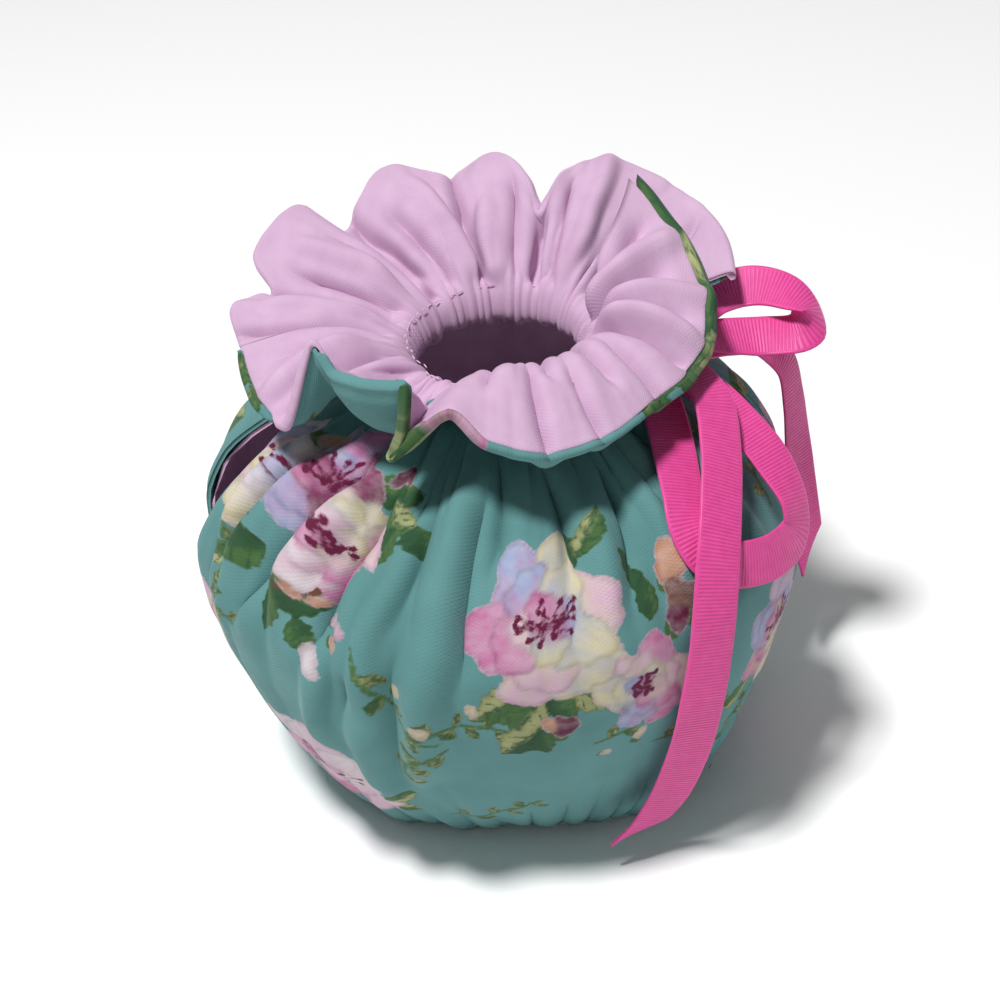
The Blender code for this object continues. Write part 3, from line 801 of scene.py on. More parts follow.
def closedSheet(name, shown, hidden, keep, rimCap, hemCap, uv, material, flip):
    # a closed skin: the side that shows has every row, the hidden side only the rows in keep
    rows, columns = shown.shape[:2]
    ring = [shown[i] for i in range(rows)] + list(rimCap)
    ring += [hidden[i] for i in reversed(keep)] + list(hemCap)
    points = np.concatenate(ring)
    total = len(ring)
    first = np.arange(total)[:, None] * columns + np.arange(columns - 1)[None, :]
    after = (np.arange(total)[:, None] + 1) % total * columns + np.arange(columns - 1)[None, :]
    quads = np.stack([first, first + 1, after + 1, after], axis=-1).reshape(-1, 4)
    if flip:
        quads = quads[:, ::-1]
    faces = quads.tolist()
    rimStart = rows
    hiddenStart = rows + len(rimCap)
    where = {row: hiddenStart + len(keep) - 1 - k for k, row in enumerate(keep)}
    hemStart = hiddenStart + len(keep)
    for column, turned in ((0, not flip), (columns - 1, flip)):
        fans = []
        for a, b in zip(keep, keep[1:]):
            fans += [(k, k + 1, where[a]) for k in range(a, b)]
            fans.append((b, where[b], where[a]))
        outer = [rows - 1] + list(range(rimStart, rimStart + len(rimCap))) + [where[keep[-1]]]
        fans += [(outer[k], outer[k + 1], outer[-1]) for k in range(len(outer) - 2)]
        lower = [where[keep[0]]] + list(range(hemStart, hemStart + len(hemCap))) + [0]
        fans += [(lower[k], lower[k + 1], lower[-1]) for k in range(len(lower) - 2)]
        for fan in fans:
            face = tuple(row * columns + column for row in fan)
            faces.append(face[::-1] if turned else face)
    flatRows = list(range(rows)) + [rows - 1] * len(rimCap) + list(reversed(keep)) + [0] * len(hemCap)
    ringUv = uv[flatRows].reshape(-1, 2)
    return addMesh(name, points, faces, material, ringUv), flatRows


def cap(start, end, forward, steps, bulge, skew=0.0):
    # rounded end of a sheet, from its start row to its end row; with skew it peaks at the end row
    middle = 0.5 * (start + end)
    arm = start - middle
    size = np.linalg.norm(arm, axis=-1, keepdims=True)
    rows = []
    for k in range(1, steps + 1):
        turn = math.pi * k / (steps + 1)
        reach = (1.0 - skew) * math.sin(turn) + skew * math.sin(0.5 * turn)
        rows.append(middle + arm * math.cos(turn) + forward * size * reach * bulge)
    return rows


# the print: peonies, rosebuds, leaves and sprigs, scattered over the cloth

printValues = {
    "ground": "#669797",
    "groundShade": "#518181",
    "palePink": "#CFAABF",
    "pink": "#BB6697",
    "cream": "#CDC49F",
    "lavender": "#97A5C8",
    "plum": "#621239",
    "peach": "#C89273",
    "brown": "#6B3F2C",
    "leafDark": "#2B5133",
    "leafMid": "#47693B",
    "leafPale": "#9DA272",
    "white": "#D6CBD0",
}

# flowers: angle, height up the body, radius, turn, tones of the petals from outside in
flowerRows = (
    (277, 91.5, 18.5, 10, "palePink cream lavender pink"),
    (293.5, 70.5, 13, 60, "pink palePink cream lavender"),
    (219, 110, 15, 200, "pink lavender pink plum"),
    (231, 103, 13, 120, "palePink cream white pink"),
    (198, 106, 16, 30, "cream white lavender palePink"),
    (225, 33, 21, 80, "palePink white palePink pink"),
    (330, 60, 19, 45, "cream palePink lavender pink"),
    (352, 96, 14, 15, "pink lavender palePink pink"),
    (345, 22, 15, 15, "lavender palePink white pink"),
    (24, 82, 21, 150, "palePink lavender cream pink"),
    (44, 52, 16, 75, "cream palePink pink lavender"),
    (70, 94, 19, 20, "pink palePink cream lavender"),
    (92, 60, 21, 110, "palePink cream lavender pink"),
    (112, 96, 15, 60, "lavender palePink pink cream"),
    (122, 34, 18, 0, "palePink white palePink pink"),
    (143, 80, 21, 45, "cream lavender palePink pink"),
    (165, 48, 16, 130, "pink palePink cream lavender"),
    (192, 56, 17, 90, "palePink cream pink lavender"),
    (66, 20, 14, 30, "pink lavender palePink pink"),
)

# leaves: angle, height, length, width, turn (0 points round, 90 up), tone of one half and of the other
leafRows = (
    (284, 104, 13, 5.5, 100, "leafDark", "leafMid"),
    (288.5, 105, 12, 5, 65, "leafMid", "leafPale"),
    (294, 97, 16, 5.5, 115, "leafDark", "leafDark"),
    (296.5, 91, 10, 6.5, 70, "leafMid", "leafDark"),
    (267.5, 74, 17, 11, 205, "leafPale", "leafMid"),
    (271.5, 70.5, 15, 10, 235, "leafMid", "leafPale"),
    (283, 73, 17, 11, 330, "leafPale", "leafMid"),
    (270, 61, 15, 10, 225, "leafPale", "leafDark"),
    (274, 60, 10, 7, 280, "leafDark", "leafMid"),
    (278, 71, 12, 7, 290, "leafDark", "leafMid"),
    (229, 93, 15, 10.5, 10, "leafDark", "brown"),
    (222, 87, 14, 8, 250, "leafDark", "leafMid"),
    (229.5, 85, 8, 7, 300, "leafMid", "leafDark"),
    (240, 111, 14, 11, 200, "leafMid", "leafDark"),
    (244, 108, 12, 8, 330, "leafMid", "leafPale"),
    (243, 104, 11, 8, 250, "leafDark", "leafMid"),
    (249.5, 105, 9, 6.5, 290, "leafDark", "leafMid"),
    (203, 104, 15, 9, 240, "leafMid", "leafPale"),
    (207, 99, 16, 9, 280, "leafPale", "leafMid"),
    (211, 94, 13, 7, 230, "leafDark", "leafMid"),
    (201, 88, 12, 6, 200, "leafMid", "leafPale"),
    (240.5, 31, 17, 9, 20, "leafPale", "leafMid"),
    (238.5, 22, 15, 8, 340, "leafMid", "leafPale"),
    (311, 84, 14, 7, 80, "leafMid", "brown"),
    (307, 58, 14, 9, 300, "leafPale", "leafMid"),
    (317, 46, 15, 9, 200, "leafMid", "leafPale"),
    (326, 103, 15, 10, 20, "leafMid", "leafPale"),
    (333, 108, 14, 9, 60, "leafDark", "leafMid"),
    (341, 86, 13, 8, 120, "leafMid", "leafDark"),
    (344, 70, 14, 8, 160, "leafPale", "leafMid"),
    (8, 100, 15, 8, 200, "leafMid", "leafPale"),
    (10, 66, 15, 9, 240, "leafPale", "leafMid"),
    (38, 94, 15, 9, 30, "leafDark", "leafMid"),
    (34, 66, 14, 9, 330, "leafPale", "leafDark"),
    (58, 70, 15, 8, 190, "leafMid", "leafPale"),
    (82, 80, 14, 8, 60, "leafDark", "leafMid"),
    (108, 68, 16, 9, 20, "leafMid", "leafPale"),
    (104, 42, 14, 8, 310, "leafPale", "leafMid"),
    (128, 92, 13, 8, 130, "leafDark", "leafMid"),
    (158, 94, 15, 9, 40, "leafMid", "leafPale"),
    (154, 66, 14, 8, 290, "leafPale", "leafMid"),
    (176, 30, 15, 8, 210, "leafMid", "leafPale"),
    (82, 34, 13, 8, 160, "leafPale", "leafMid"),
    (139, 52, 14, 8, 200, "leafDark", "leafMid"),
)

# leaves on the ruffle's outer face and its turned rim: neck angle, part of the way to the rim, then as above
rimLeafRows = (
    (205, 0.86, 15, 8, 180, "leafMid", "leafPale"),
    (188, 0.97, 12, 7, 170, "leafMid", "leafPale"),
    (198, 0.99, 11, 6, 190, "leafPale", "leafMid"),
    (249, 0.99, 12, 6, 170, "leafPale", "leafMid"),
    (256, 0.98, 14, 11, 140, "leafMid", "leafPale"),
    (260, 0.90, 13, 9, 60, "leafDark", "leafPale"),
    (254, 0.84, 13, 8, 200, "leafMid", "brown"),
    (318, 0.98, 14, 7, 0, "leafPale", "leafMid"),
    (330, 0.97, 14, 8, 10, "leafDark", "leafMid"),
    (338, 0.98, 13, 7, 350, "leafMid", "leafPale"),
    (346, 0.97, 14, 8, 10, "leafMid", "leafDark"),
    (353, 0.99, 12, 7, 0, "leafPale", "leafMid"),
    (359, 0.97, 12, 7, 20, "leafMid", "leafDark"),
    (10, 0.96, 14, 7, 10, "leafMid", "leafPale"),
    (24, 0.9, 15, 8, 60, "leafDark", "leafPale"),
    (50, 0.9, 15, 8, 160, "leafMid", "leafPale"),
    (90, 0.8, 15, 8, 30, "leafMid", "leafDark"),
    (135, 0.8, 15, 8, 120, "leafPale", "leafMid"),
    (168, 0.85, 15, 8, 200, "leafMid", "leafPale"),
)
rimFlowerRows = (
    (70, 0.55, 13, 0, "palePink cream lavender pink"),
    (110, 0.6, 14, 50, "pink palePink cream lavender"),
    (152, 0.55, 13, 90, "cream palePink lavender pink"),
    (264.5, 0.90, 7, 30, "pink palePink pink plum"),
    (192, 0.6, 12, 40, "palePink white pink lavender"),
)

# small buds: angle, height, length, width, turn, tone
budRows = (
    (277.5, 64.5, 8, 6.5, 60, "plum"),
    (275.5, 65.5, 5.5, 4.5, 120, "peach"),
    (303, 95, 11, 7, 70, "peach"),
    (303.5, 88, 9, 8, 100, "brown"),
    (301, 84, 7, 6, 40, "plum"),
    (232.5, 81, 9, 5, 300, "white"),
    (237.5, 89, 5, 3.6, 20, "palePink"),
    (239.5, 87.5, 4.5, 3.2, 60, "palePink"),
    (238, 84.5, 4, 3.4, 0, "peach"),
    (249.5, 76, 5, 4.4, 20, "cream"),
    (238.5, 112.5, 8, 5, 20, "plum"),
    (253.5, 68, 4, 3.4, 60, "cream"),
    (262.5, 72, 5, 3, 100, "cream"),
    (209, 113, 9, 6, 30, "peach"),
    (231, 93, 6, 2.6, 10, "peach"),
    (226.5, 93.5, 5, 2.4, 340, "peach"),
    (291.5, 54, 5, 3.6, 60, "cream"),
    (302, 50, 4, 2.6, 20, "palePink"),
    (285, 50, 3.6, 2.4, 0, "cream"),
    (30, 62, 9, 6, 80, "plum"),
    (84, 90, 9, 7, 60, "peach"),
    (105, 78, 8, 6, 100, "brown"),
    (152, 92, 9, 6, 50, "plum"),
)

# sprigs of small leaves: angle and height at the start, turn, length, bend, leaves
sprigRows = (
    (252, 66, 20, 26, -0.5, 7),
    (255.5, 60, 200, 16, 0.6, 5),
    (284, 56, 10, 34, 0.5, 8),
    (296, 48, 350, 22, 0.4, 6),
    (243, 84, 285, 26, 0.5, 4),
    (252, 20, 10, 26, 0.3, 6),
    (201, 96, 280, 26, 0.5, 7),
    (206, 86, 265, 20, -0.5, 5),
    (334, 92, 80, 30, 0.4, 7),
    (349, 76, 40, 26, 0.5, 6),
    (310, 26, 30, 34, 0.4, 8),
    (60, 44, 20, 34, 0.5, 8),
    (118, 60, 100, 28, -0.5, 7),
    (12, 40, 30, 30, 0.5, 7),
    (150, 26, 10, 30, 0.5, 7),
    (180, 84, 80, 26, 0.5, 6),
)


def petalShape(x, y, turn, distance, length, width, tone, deep, seed):
    # how deep each place lies inside one petal, in mm, and its colour there
    c, s = math.cos(turn), math.sin(turn)
    a = x * c + y * s - distance
    b = -x * s + y * c
    way = np.arctan2(b, a)
    wobble = 0.10 * np.sin(3.0 * way + seed) + 0.06 * np.sin(7.0 * way + 2.0 * seed)
    inside = (1.0 - np.hypot(a / (0.5 * length), b / (0.5 * width)) + wobble) * 0.5 * width
    streak = softNoise(b / 1.1 + seed * 3.7, a / 5.0 + seed, 31)
    depth = np.clip(0.5 - a / length + 0.25 * streak, 0.0, 1.0)[..., None]
    colour = tone * (1.0 - depth) + deep * depth
    rimShade = 1.0 - 0.3 * np.exp(-((inside - 0.3) / 0.7) ** 2)
    return inside, colour * rimShade[..., None]


class Print:
    # paints on the cloth's grid: edges are distances in mm, positive inside a shape
    def __init__(self, angle, v, values):
        self.angle = np.mod(angle, 360.0)
        self.v = v
        self.arc = arcLength(v)
        self.tones = {key: np.array(hexColour(code)[:3]) for key, code in values.items()}
        far = np.full(angle.shape, -6.0)
        self.petalEdge, self.leafEdge, self.inkEdge, self.veinEdge = (far.copy() for _ in range(4))
        self.petalColour = np.zeros(angle.shape + (3,)) + self.tones["palePink"]
        self.leafColour = np.zeros(angle.shape + (3,)) + self.tones["leafMid"]

    def near(self, at, v, size):
        # the grid points near a place, with their distances round and up from it in mm
        reach = float(clothReach(np.array(v)))
        x = np.radians(wrapped(self.angle - at)) * reach
        y = self.arc - float(arcLength(np.array(v)))
        wide = x * (1.0 + 0.012 * y * (v < 1.0) * (v > 0.6))
        mask = (np.abs(wide) < size) & (np.abs(y) < size)
        return mask, wide[mask], y[mask]

    def paint(self, edge, colour, mask, inside, tone):
        # lays a tone over what is inside, soft at its edge
        cover = smooth(inside, -0.45, 0.45)[..., None]
        colour[mask] = colour[mask] * (1.0 - cover) + tone * cover
        edge[mask] = np.maximum(edge[mask], inside)

    def flower(self, at, v, radius, turn, tones, seed):
        mask, x, y = self.near(at, v, radius * 1.3)
        if not mask.any():
            return
        tone = [self.tones[name] for name in tones.split()]
        rand = np.random.default_rng(seed)
        start = math.radians(turn)
        layers = ((6, 0.58, 1.00, 0.92), (5, 0.40, 0.86, 0.78), (4, 0.22, 0.62, 0.58))
        for ring, (count, out, long, wide) in enumerate(layers):
            for k in rand.permutation(count):
                way = start + 2.0 * math.pi * (k + 0.5 * (ring % 2)) / count + rand.uniform(-0.22, 0.22)
                pale = tone[(k + ring) % len(tone)]
                deep = tone[(k + ring + 1) % len(tone)] * 0.93
                size = radius * rand.uniform(0.86, 1.06)
                inside, colour = petalShape(
                    x, y, way, out * size, long * size, wide * size, pale, deep, k + 3.0 * ring
                )
                self.paint(self.petalEdge, self.petalColour, mask, inside, colour)
        heart = smooth(0.20 * radius - np.hypot(x, y), -2.0, 2.0)[..., None] * 0.55
        self.petalColour[mask] = self.petalColour[mask] * (1 - heart) + self.tones["pink"] * 0.8 * heart
        if radius < 12.5:
            return
        for k in range(13):
            way = start + 2.0 * math.pi * k / 13.0 + rand.uniform(-0.15, 0.15)
            long = radius * rand.uniform(0.20, 0.46)
            if k > radius - 5.0:
                break
            ex, ey = math.cos(way) * long * 1.2, math.sin(way) * long * 0.7 + 0.06 * radius
            t = np.clip((x * ex + y * ey) / (ex * ex + ey * ey), 0.15, 1.0)
            stroke = 0.36 - np.hypot(x - t * ex, y - t * ey)
            dot = 0.85 - np.hypot(x - ex, y - ey)
            self.inkEdge[mask] = np.maximum(self.inkEdge[mask], np.maximum(stroke, dot))

    def leaf(self, at, v, length, width, turn, tone, other, seed):
        mask, x, y = self.near(at, v, length)
        if not mask.any():
            return
        c, s = math.cos(math.radians(turn)), math.sin(math.radians(turn))
        a = x * c + y * s
        b = -x * s + y * c + 0.04 * length * np.sin(2.0 * a / length + seed)
        share = np.clip(2.0 * a / length, -1.0, 1.0)
        teeth = 1.0 + 0.10 * np.sin(a * 9.0 * math.pi / length + seed)
        half = 0.5 * width * (1.0 - share**2) * (1.0 - 0.25 * share) * teeth
        inside = np.minimum(half - np.abs(b), 0.5 * length - np.abs(a))
        side = smooth(b + 0.8 * softNoise(a / 2.0, b / 2.0, 41 + int(seed)), -0.8, 0.8)[..., None]
        colour = self.tones[tone] * (1.0 - side) + self.tones[other] * side
        patch = 0.5 + 0.5 * softNoise(a / 2.6, b / 2.2 + seed, 43)[..., None]
        outlined = 1.0 - 0.35 * np.exp(-((inside - 0.1) / 0.5) ** 2)
        colour = colour * (0.78 + 0.34 * patch) * outlined[..., None]
        self.paint(self.leafEdge, self.leafColour, mask, inside, colour)
        spoke = np.abs(np.mod((a - np.abs(b) * 0.9) / (0.22 * length) + 0.5, 1.0) - 0.5) * 0.22 * length
        vein = np.maximum(0.42 - np.abs(b), 0.30 - spoke * 0.8)
        now = self.veinEdge[mask]
        self.veinEdge[mask] = np.where(inside > -0.3, np.minimum(vein, inside + 0.2), now)

    def bud(self, at, v, length, width, turn, tone, seed):
        mask, x, y = self.near(at, v, length + width)
        if not mask.any():
            return
        way = math.radians(turn)
        cupX, cupY = x + math.cos(way) * 0.34 * length, y + math.sin(way) * 0.34 * length
        cup = 0.42 * width - np.hypot(cupX, cupY)
        self.paint(self.leafEdge, self.leafColour, mask, cup, self.tones["leafMid"] * 0.9)
        deep = self.tones[tone] * 0.75
        inside, colour = petalShape(
            x, y, way, 0.1 * length, length, width, self.tones[tone], deep, seed
        )
        self.paint(self.petalEdge, self.petalColour, mask, inside, colour)

    def sprig(self, at, height, turn, length, bend, leaves, seed):
        way = math.radians(turn)
        place, up = at, bodyLength * heightToV(height)
        count = leaves * 2 + 1
        for k in range(count):
            share = k / (count - 1)
            v = min(up / bodyLength, 0.99)
            mask, x, y = self.near(place, v, 4.0)
            along = np.abs(x * math.cos(way) + y * math.sin(way))
            stem = 0.5 - np.abs(y * math.cos(way) - x * math.sin(way))
            stem = np.minimum(stem, 0.9 * length / (count - 1) - along)
            self.paint(self.leafEdge, self.leafColour, mask, stem, self.tones["leafMid"])
            if k % 2:
                side = 1 if k % 4 == 1 else -1
                aside = way + side * 0.9
                reach = float(clothReach(np.array(v)))
                dx, dy = 3.0 * math.cos(aside), 3.0 * math.sin(aside)
                tone = "leafPale" if k % 3 else "leafMid"
                self.leaf(
                    place + math.degrees(dx / reach), (up + dy) / bodyLength,
                    6.2 - 1.6 * share, 3.4 - 0.8 * share,
                    math.degrees(aside), tone, "leafPale", seed + k,
                )
            step = length / (count - 1)
            reach = float(clothReach(np.array(v)))
            place += math.degrees(step * math.cos(way) / reach)
            up += step * math.sin(way)
            way += bend * 2.0 / count


def paintPrint(angle, v):
    sheet = Print(angle, v, printValues)
    for k, row in enumerate(sprigRows):
        sheet.sprig(*row, seed=k)
    for draw, rows, first in (
        (sheet.leaf, leafRows, 0), (sheet.leaf, rimLeafRows, 50),
        (sheet.flower, flowerRows, 100), (sheet.flower, rimFlowerRows, 200), (sheet.bud, budRows, 300),
    ):
        onRim = rows is rimLeafRows or rows is rimFlowerRows
        for k, (at, up, *rest) in enumerate(rows):
            draw(at, 2.0 + up if onRim else float(heightToV(up)), *rest, seed=first + k)
    return sheet


def addAttribute(item, name, values, rows):
    values = values[rows].astype(np.float32)
    if values.ndim == 3:
        layer = item.data.attributes.new(name, "FLOAT_COLOR", "POINT")
        full = np.concatenate([values, np.ones(values.shape[:2] + (1,), dtype=np.float32)], axis=-1)
        layer.data.foreach_set("color", full.ravel())
    else:
        layer = item.data.attributes.new(name, "FLOAT", "POINT")
        layer.data.foreach_set("value", values.ravel())


def weaveHeight(tree, spacing):
    # plain weave on the piece's own map, threads over and under; real cotton has them 0.3 mm apart
    place = addNode(tree, "ShaderNodeUVMap", uv_map="cloth")
    parts = addNode(tree, "ShaderNodeSeparateXYZ", {0: place.outputs["UV"]})
    waves = []
    for axis in ("X", "Y"):
        turns = addMath(tree, "MULTIPLY", parts.outputs[axis], math.pi / spacing)
        waves.append(addMath(tree, "SINE", turns))
    return place, addMath(tree, "MULTIPLY", *waves)


def addWeaveBump(tree, shader, weave, depth, fine):
    height = addMath(tree, "MULTIPLY_ADD", weave, 1.0, fine)
    bump = addNode(tree, "ShaderNodeBump", {"Height": height, "Strength": 0.6, "Distance": depth})
    tree.links.new(bump.outputs["Normal"], shader.inputs["Normal"])


def addCloud(tree, place, scale, detail):
    return addNode(
        tree, "ShaderNodeTexNoise", {"Vector": place.outputs["UV"], "Scale": scale, "Detail": detail}
    ).outputs["Fac"]


def printedCottonMaterial(values):
    # plain-woven quilting cotton, reactive printed: matt, faint thread texture, painterly flowers
    material, tree, shader = clothMaterial("printedCotton", 0.86, 0.12, "#D9F2EE")
    place, weave = weaveHeight(tree, 0.42)
    ragged = addCloud(tree, place, 0.9, 3.0)
    cloudy = addCloud(tree, place, 0.06, 2.0)
    wash = addCloud(tree, place, 0.32, 4.0)

    def mask(name, low, high):
        # ragged edge of a printed shape
        edge = addNode(tree, "ShaderNodeAttribute", attribute_name=name)
        shaken = addMath(tree, "MULTIPLY_ADD", ragged, 1.3, edge.outputs["Fac"])
        return addNode(
            tree, "ShaderNodeMapRange", {"Value": shaken, "From Min": 0.65 + low, "From Max": 0.65 + high}
        ).outputs[0]

    def mix(factor, below, above):
        return addNode(
            tree, "ShaderNodeMix", {"Factor": factor, 6: below, 7: above}, data_type="RGBA"
        ).outputs[2]

    ground = mix(cloudy, hexColour(values["groundShade"]), hexColour(values["ground"]))
    leafTone = addNode(tree, "ShaderNodeAttribute", attribute_name="leafColour").outputs["Color"]
    petalTone = addNode(tree, "ShaderNodeAttribute", attribute_name="petalColour").outputs["Color"]
    veins = addMath(tree, "MULTIPLY", mask("veinEdge", -0.2, 0.25), 0.85)
    leafTone = mix(veins, leafTone, hexColour(values["leafDark"]))
    washed = addNode(
        tree, "ShaderNodeMapRange",
        {"Value": wash, "From Min": 0.35, "From Max": 0.65, "To Min": 0.0, "To Max": 0.22},
    )
    petalTone = mix(washed.outputs[0], petalTone, hexColour(values["white"]))
    colour = mix(mask("leafEdge", -0.25, 0.25), ground, leafTone)
    colour = mix(mask("petalEdge", -0.25, 0.3), colour, petalTone)
    colour = mix(mask("inkEdge", -0.2, 0.2), colour, hexColour(values["plum"]))
    tree.links.new(colour, shader.inputs["Base Color"])
    addWeaveBump(tree, shader, weave, 0.06 * mm, ragged)
    return material


liningValues = {"colour": "#D4B5D0", "shade": "#C09ABA"}


def liningMaterial(values):
    # plain-woven cotton dyed lilac pink: matt, with a painted highlight that makes the weave's ridges a
    # little paler
    material, tree, shader = clothMaterial("dyedCottonLining", 0.88, 0.15, "#FFE6FA")
    place, weave = weaveHeight(tree, 0.48)
    cloudy = addCloud(tree, place, 0.12, 3.0)
    slub = addCloud(tree, place, 1.2, 2.0)
    # painted highlight: paler on the weave's ridges; the cloudy noise is a random tone
    thread = addMath(tree, "MULTIPLY_ADD", weave, 0.12, cloudy)
    colour = addNode(
        tree, "ShaderNodeMix",
        {"Factor": thread, 6: hexColour(values["shade"]), 7: hexColour(values["colour"])},
        data_type="RGBA",
    )
    tree.links.new(colour.outputs[2], shader.inputs["Base Color"])
    addWeaveBump(tree, shader, weave, 0.05 * mm, slub)
    return material


def halfRows(values):
    body = np.linspace(0.0, 1.0, values["bodyRows"] + 1)
    tube = 1.0 + np.arange(1, values["tubeRows"] + 1) / values["tubeRows"]
    ruffle = 2.0 + np.arange(1, values["ruffleRows"] + 1) / values["ruffleRows"]
    return np.concatenate([body, tube, ruffle])


def halfSurface(side, values):
    # one half of the cloth: the surface between cover and lining, from hem to rim
    if side == "Front":
        ends, slits, ties = (180.0, 360.0), (spoutSlitHalf, handleSlitHalf), (0.0, tieGapHalf)
    else:
        ends, slits, ties = (0.0, 180.0), (handleSlitHalf, spoutSlitHalf), (tieGapHalf, 0.0)
    rows = halfRows(values)
    angle, v = halfGrid(*ends, rows, values["columns"], slits, ties, values["seamGap"])
    middle = blurred(clothPoints(angle, v), 3, 0)
    corner = ((rows > 0.96) & (rows < 2.12))[:, None, None]
    middle = np.where(corner, blurred(middle, 10, 0), middle)
    middle[:, 1:-1] = blurred(middle, 2, 1)[:, 1:-1]
    middle = middle + gridNormals(middle, 6) * clothDetail(angle, v, values)[..., None]
    normal = gridNormals(middle, 4)
    up = np.gradient(middle, axis=0)
    up /= np.linalg.norm(up, axis=-1, keepdims=True)
    scallop = values["scallop"] * (0.5 + 0.5 * softNoise(angle[0] / 5.0, 0.0, 51))
    middle[..., 2] += (1.0 - smooth(arcLength(v), 0.0, 12.0)) * scallop[None, :]
    return {
        "side": side, "rows": rows, "angle": angle, "v": v, "middle": middle, "normal": normal,
        "up": up, "turnOver": readRows(turnRows, 1, angle),
    }


def waddingLoft(angle, v):
    # the wadding is pressed thin along the seams and the neck's stitching
    arc = arcLength(v)
    fromSide = np.minimum(np.abs(angle - angle[:, :1]), np.abs(angle - angle[:, -1:]))
    fromSide = np.radians(fromSide) * clothReach(v)
    loft = 1.0 - 0.45 * (1.0 - smooth(fromSide, 0.0, 5.0))
    loft = loft * (1.0 - 0.4 * np.exp(-(((arc - bodyLength - 4.0) / 5.0) ** 2)))
    # it thins out towards the rim, but stays plump where the rim hangs over the front
    plumpRim = smooth(angle, 256.0, 272.0) * (1.0 - smooth(angle, 312.0, 328.0))
    nearRim = 1.0 - smooth(ruffleLength * (3.0 - v), 0.5, 6.0)
    return loft * (1.0 - nearRim * (0.55 - 0.75 * plumpRim))


def spreadRows(half, start, end, drawn=0.0):
    # reads a half's grids again with the rows spread from start to end, where the layer's own edges
    # lie, and the ruffle drawn back by some columns at the last side
    rows, v = half["rows"], half["v"]
    columns = np.arange(v.shape[1])[None, :]
    lower = np.interp(v, (0.0, 1.0, 3.0), (start, 1.0, 3.0))
    place = np.where(v > 2.0, 2.0 + (v - 2.0) * (end - 2.0), lower)
    full = np.interp(place, rows, np.arange(len(rows)))
    low = np.clip(np.floor(full).astype(int), 0, len(rows) - 2)
    part = (full - low)[..., None]
    back = columns * (1.0 - drawn * smooth(place, 2.0, 2.3) / columns[0, -1])
    left = np.clip(np.floor(back).astype(int), 0, columns[0, -1] - 1)
    aside = (back - left)[..., None]

    def read(grid):
        below = grid[low, left] * (1.0 - aside) + grid[low, left + 1] * aside
        above = grid[low + 1, left] * (1.0 - aside) + grid[low + 1, left + 1] * aside
        return below * (1.0 - part) + above * part

    return place, read


def clothMap(angle, place):
    # the cloth laid flat, in mm
    return np.stack([np.radians(angle) * mapReach, arcLength(place)], axis=-1)


def addCover(half, material, values):
    # the cover's rim rolls over the lining's, or ends just inside the lining's own roll
    side, rows, angle, turnOver = (half[name] for name in ("side", "rows", "angle", "turnOver"))
    halfGap = 0.5 * values["layerGap"]
    end = 3.0 - np.maximum(0.3 - turnOver, 0.0) / ruffleLength
    place, read = spreadRows(half, 0.0, end, values["endDrawn"][side])
    base, way, rise = (read(half[name]) for name in ("middle", "normal", "up"))
    thick = values["coverThick"] * read(waddingLoft(angle, half["v"])[..., None])[..., 0]
    toRim = ruffleLength * (3.0 - place)
    rolled = 1.0 - smooth(toRim, turnOver - 0.3, turnOver + 0.3)
    share = np.clip(toRim / np.maximum(turnOver, 0.3), 0.0, 1.0)
    plump = rolled * (0.15 + 0.75 * np.sqrt(np.clip(4.0 * share * (1.0 - share), 0.0, 1.0)))
    nearSide = halfGap - rolled * (values["layerGap"] + values["liningThick"]) - plump
    outside = base + way * (halfGap + thick)[..., None]
    inside = base + way * nearSide[..., None]
    for layer in (outside, inside):
        layer[..., 2] = np.maximum(layer[..., 2], 0.0)
    # the hidden side has every fifth row, and all of them near the rim
    fine = np.searchsorted(rows, 2.86)
    keep = [k for k in [0, *range(4, len(rows), 5)] if k < fine] + list(range(fine, len(rows)))
    rimCap = cap(outside[-1], inside[-1], rise[-1], 5, 0.9, skew=0.8)
    hemCap = [np.maximum(row, (-999.0, -999.0, 0.0)) for row in cap(inside[0], outside[0], -rise[0], 3, 0.6)]
    cover, flatRows = closedSheet(
        "cover" + side, outside, inside, keep, rimCap, hemCap, clothMap(angle, place), material, flip=False
    )
    sheet = paintPrint(angle, place)
    for name in ("petalEdge", "leafEdge", "inkEdge", "veinEdge", "petalColour", "leafColour"):
        addAttribute(cover, name, getattr(sheet, name), flatRows)
    return cover, (half["v"], outside)


def addLining(half, material, values):
    # the lining starts just above the hem, and its rim wraps over the cover's where turnOver is negative
    rows, turnOver = half["rows"], half["turnOver"]
    halfGap = 0.5 * values["layerGap"]
    pick = [k for k, row in enumerate(rows) if row > 0.9 or k % 4 == 0]
    place, read = spreadRows(half, 0.03, 3.0 - np.maximum(turnOver + 0.5, 0.0) / ruffleLength)
    base, way, rise = (read(half[name]) for name in ("middle", "normal", "up"))
    toRim = ruffleLength * (3.0 - place)
    wraps = smooth(-turnOver, 0.4, 1.4) * (1.0 - smooth(toRim, -turnOver - 0.5, -turnOver + 0.1))
    behind = -halfGap + wraps * (values["layerGap"] + 0.75 * values["coverThick"])
    back = (base + way * behind[..., None])[pick]
    shown = (base - way * (halfGap + values["liningThick"]))[pick]
    keep = [k for k in range(len(pick)) if k % 4 == 0 or rows[pick[k]] > 2.9]
    topCap = cap(shown[-1], back[-1], rise[-1], 4, 0.8)
    lowCap = cap(back[0], shown[0], -rise[0], 2, 0.5)
    layer, _ = closedSheet(
        "lining" + half["side"], shown, back, keep, topCap, lowCap,
        clothMap(half["angle"], place)[pick], material, flip=True,
    )
    return layer, (half["v"][pick], shown)


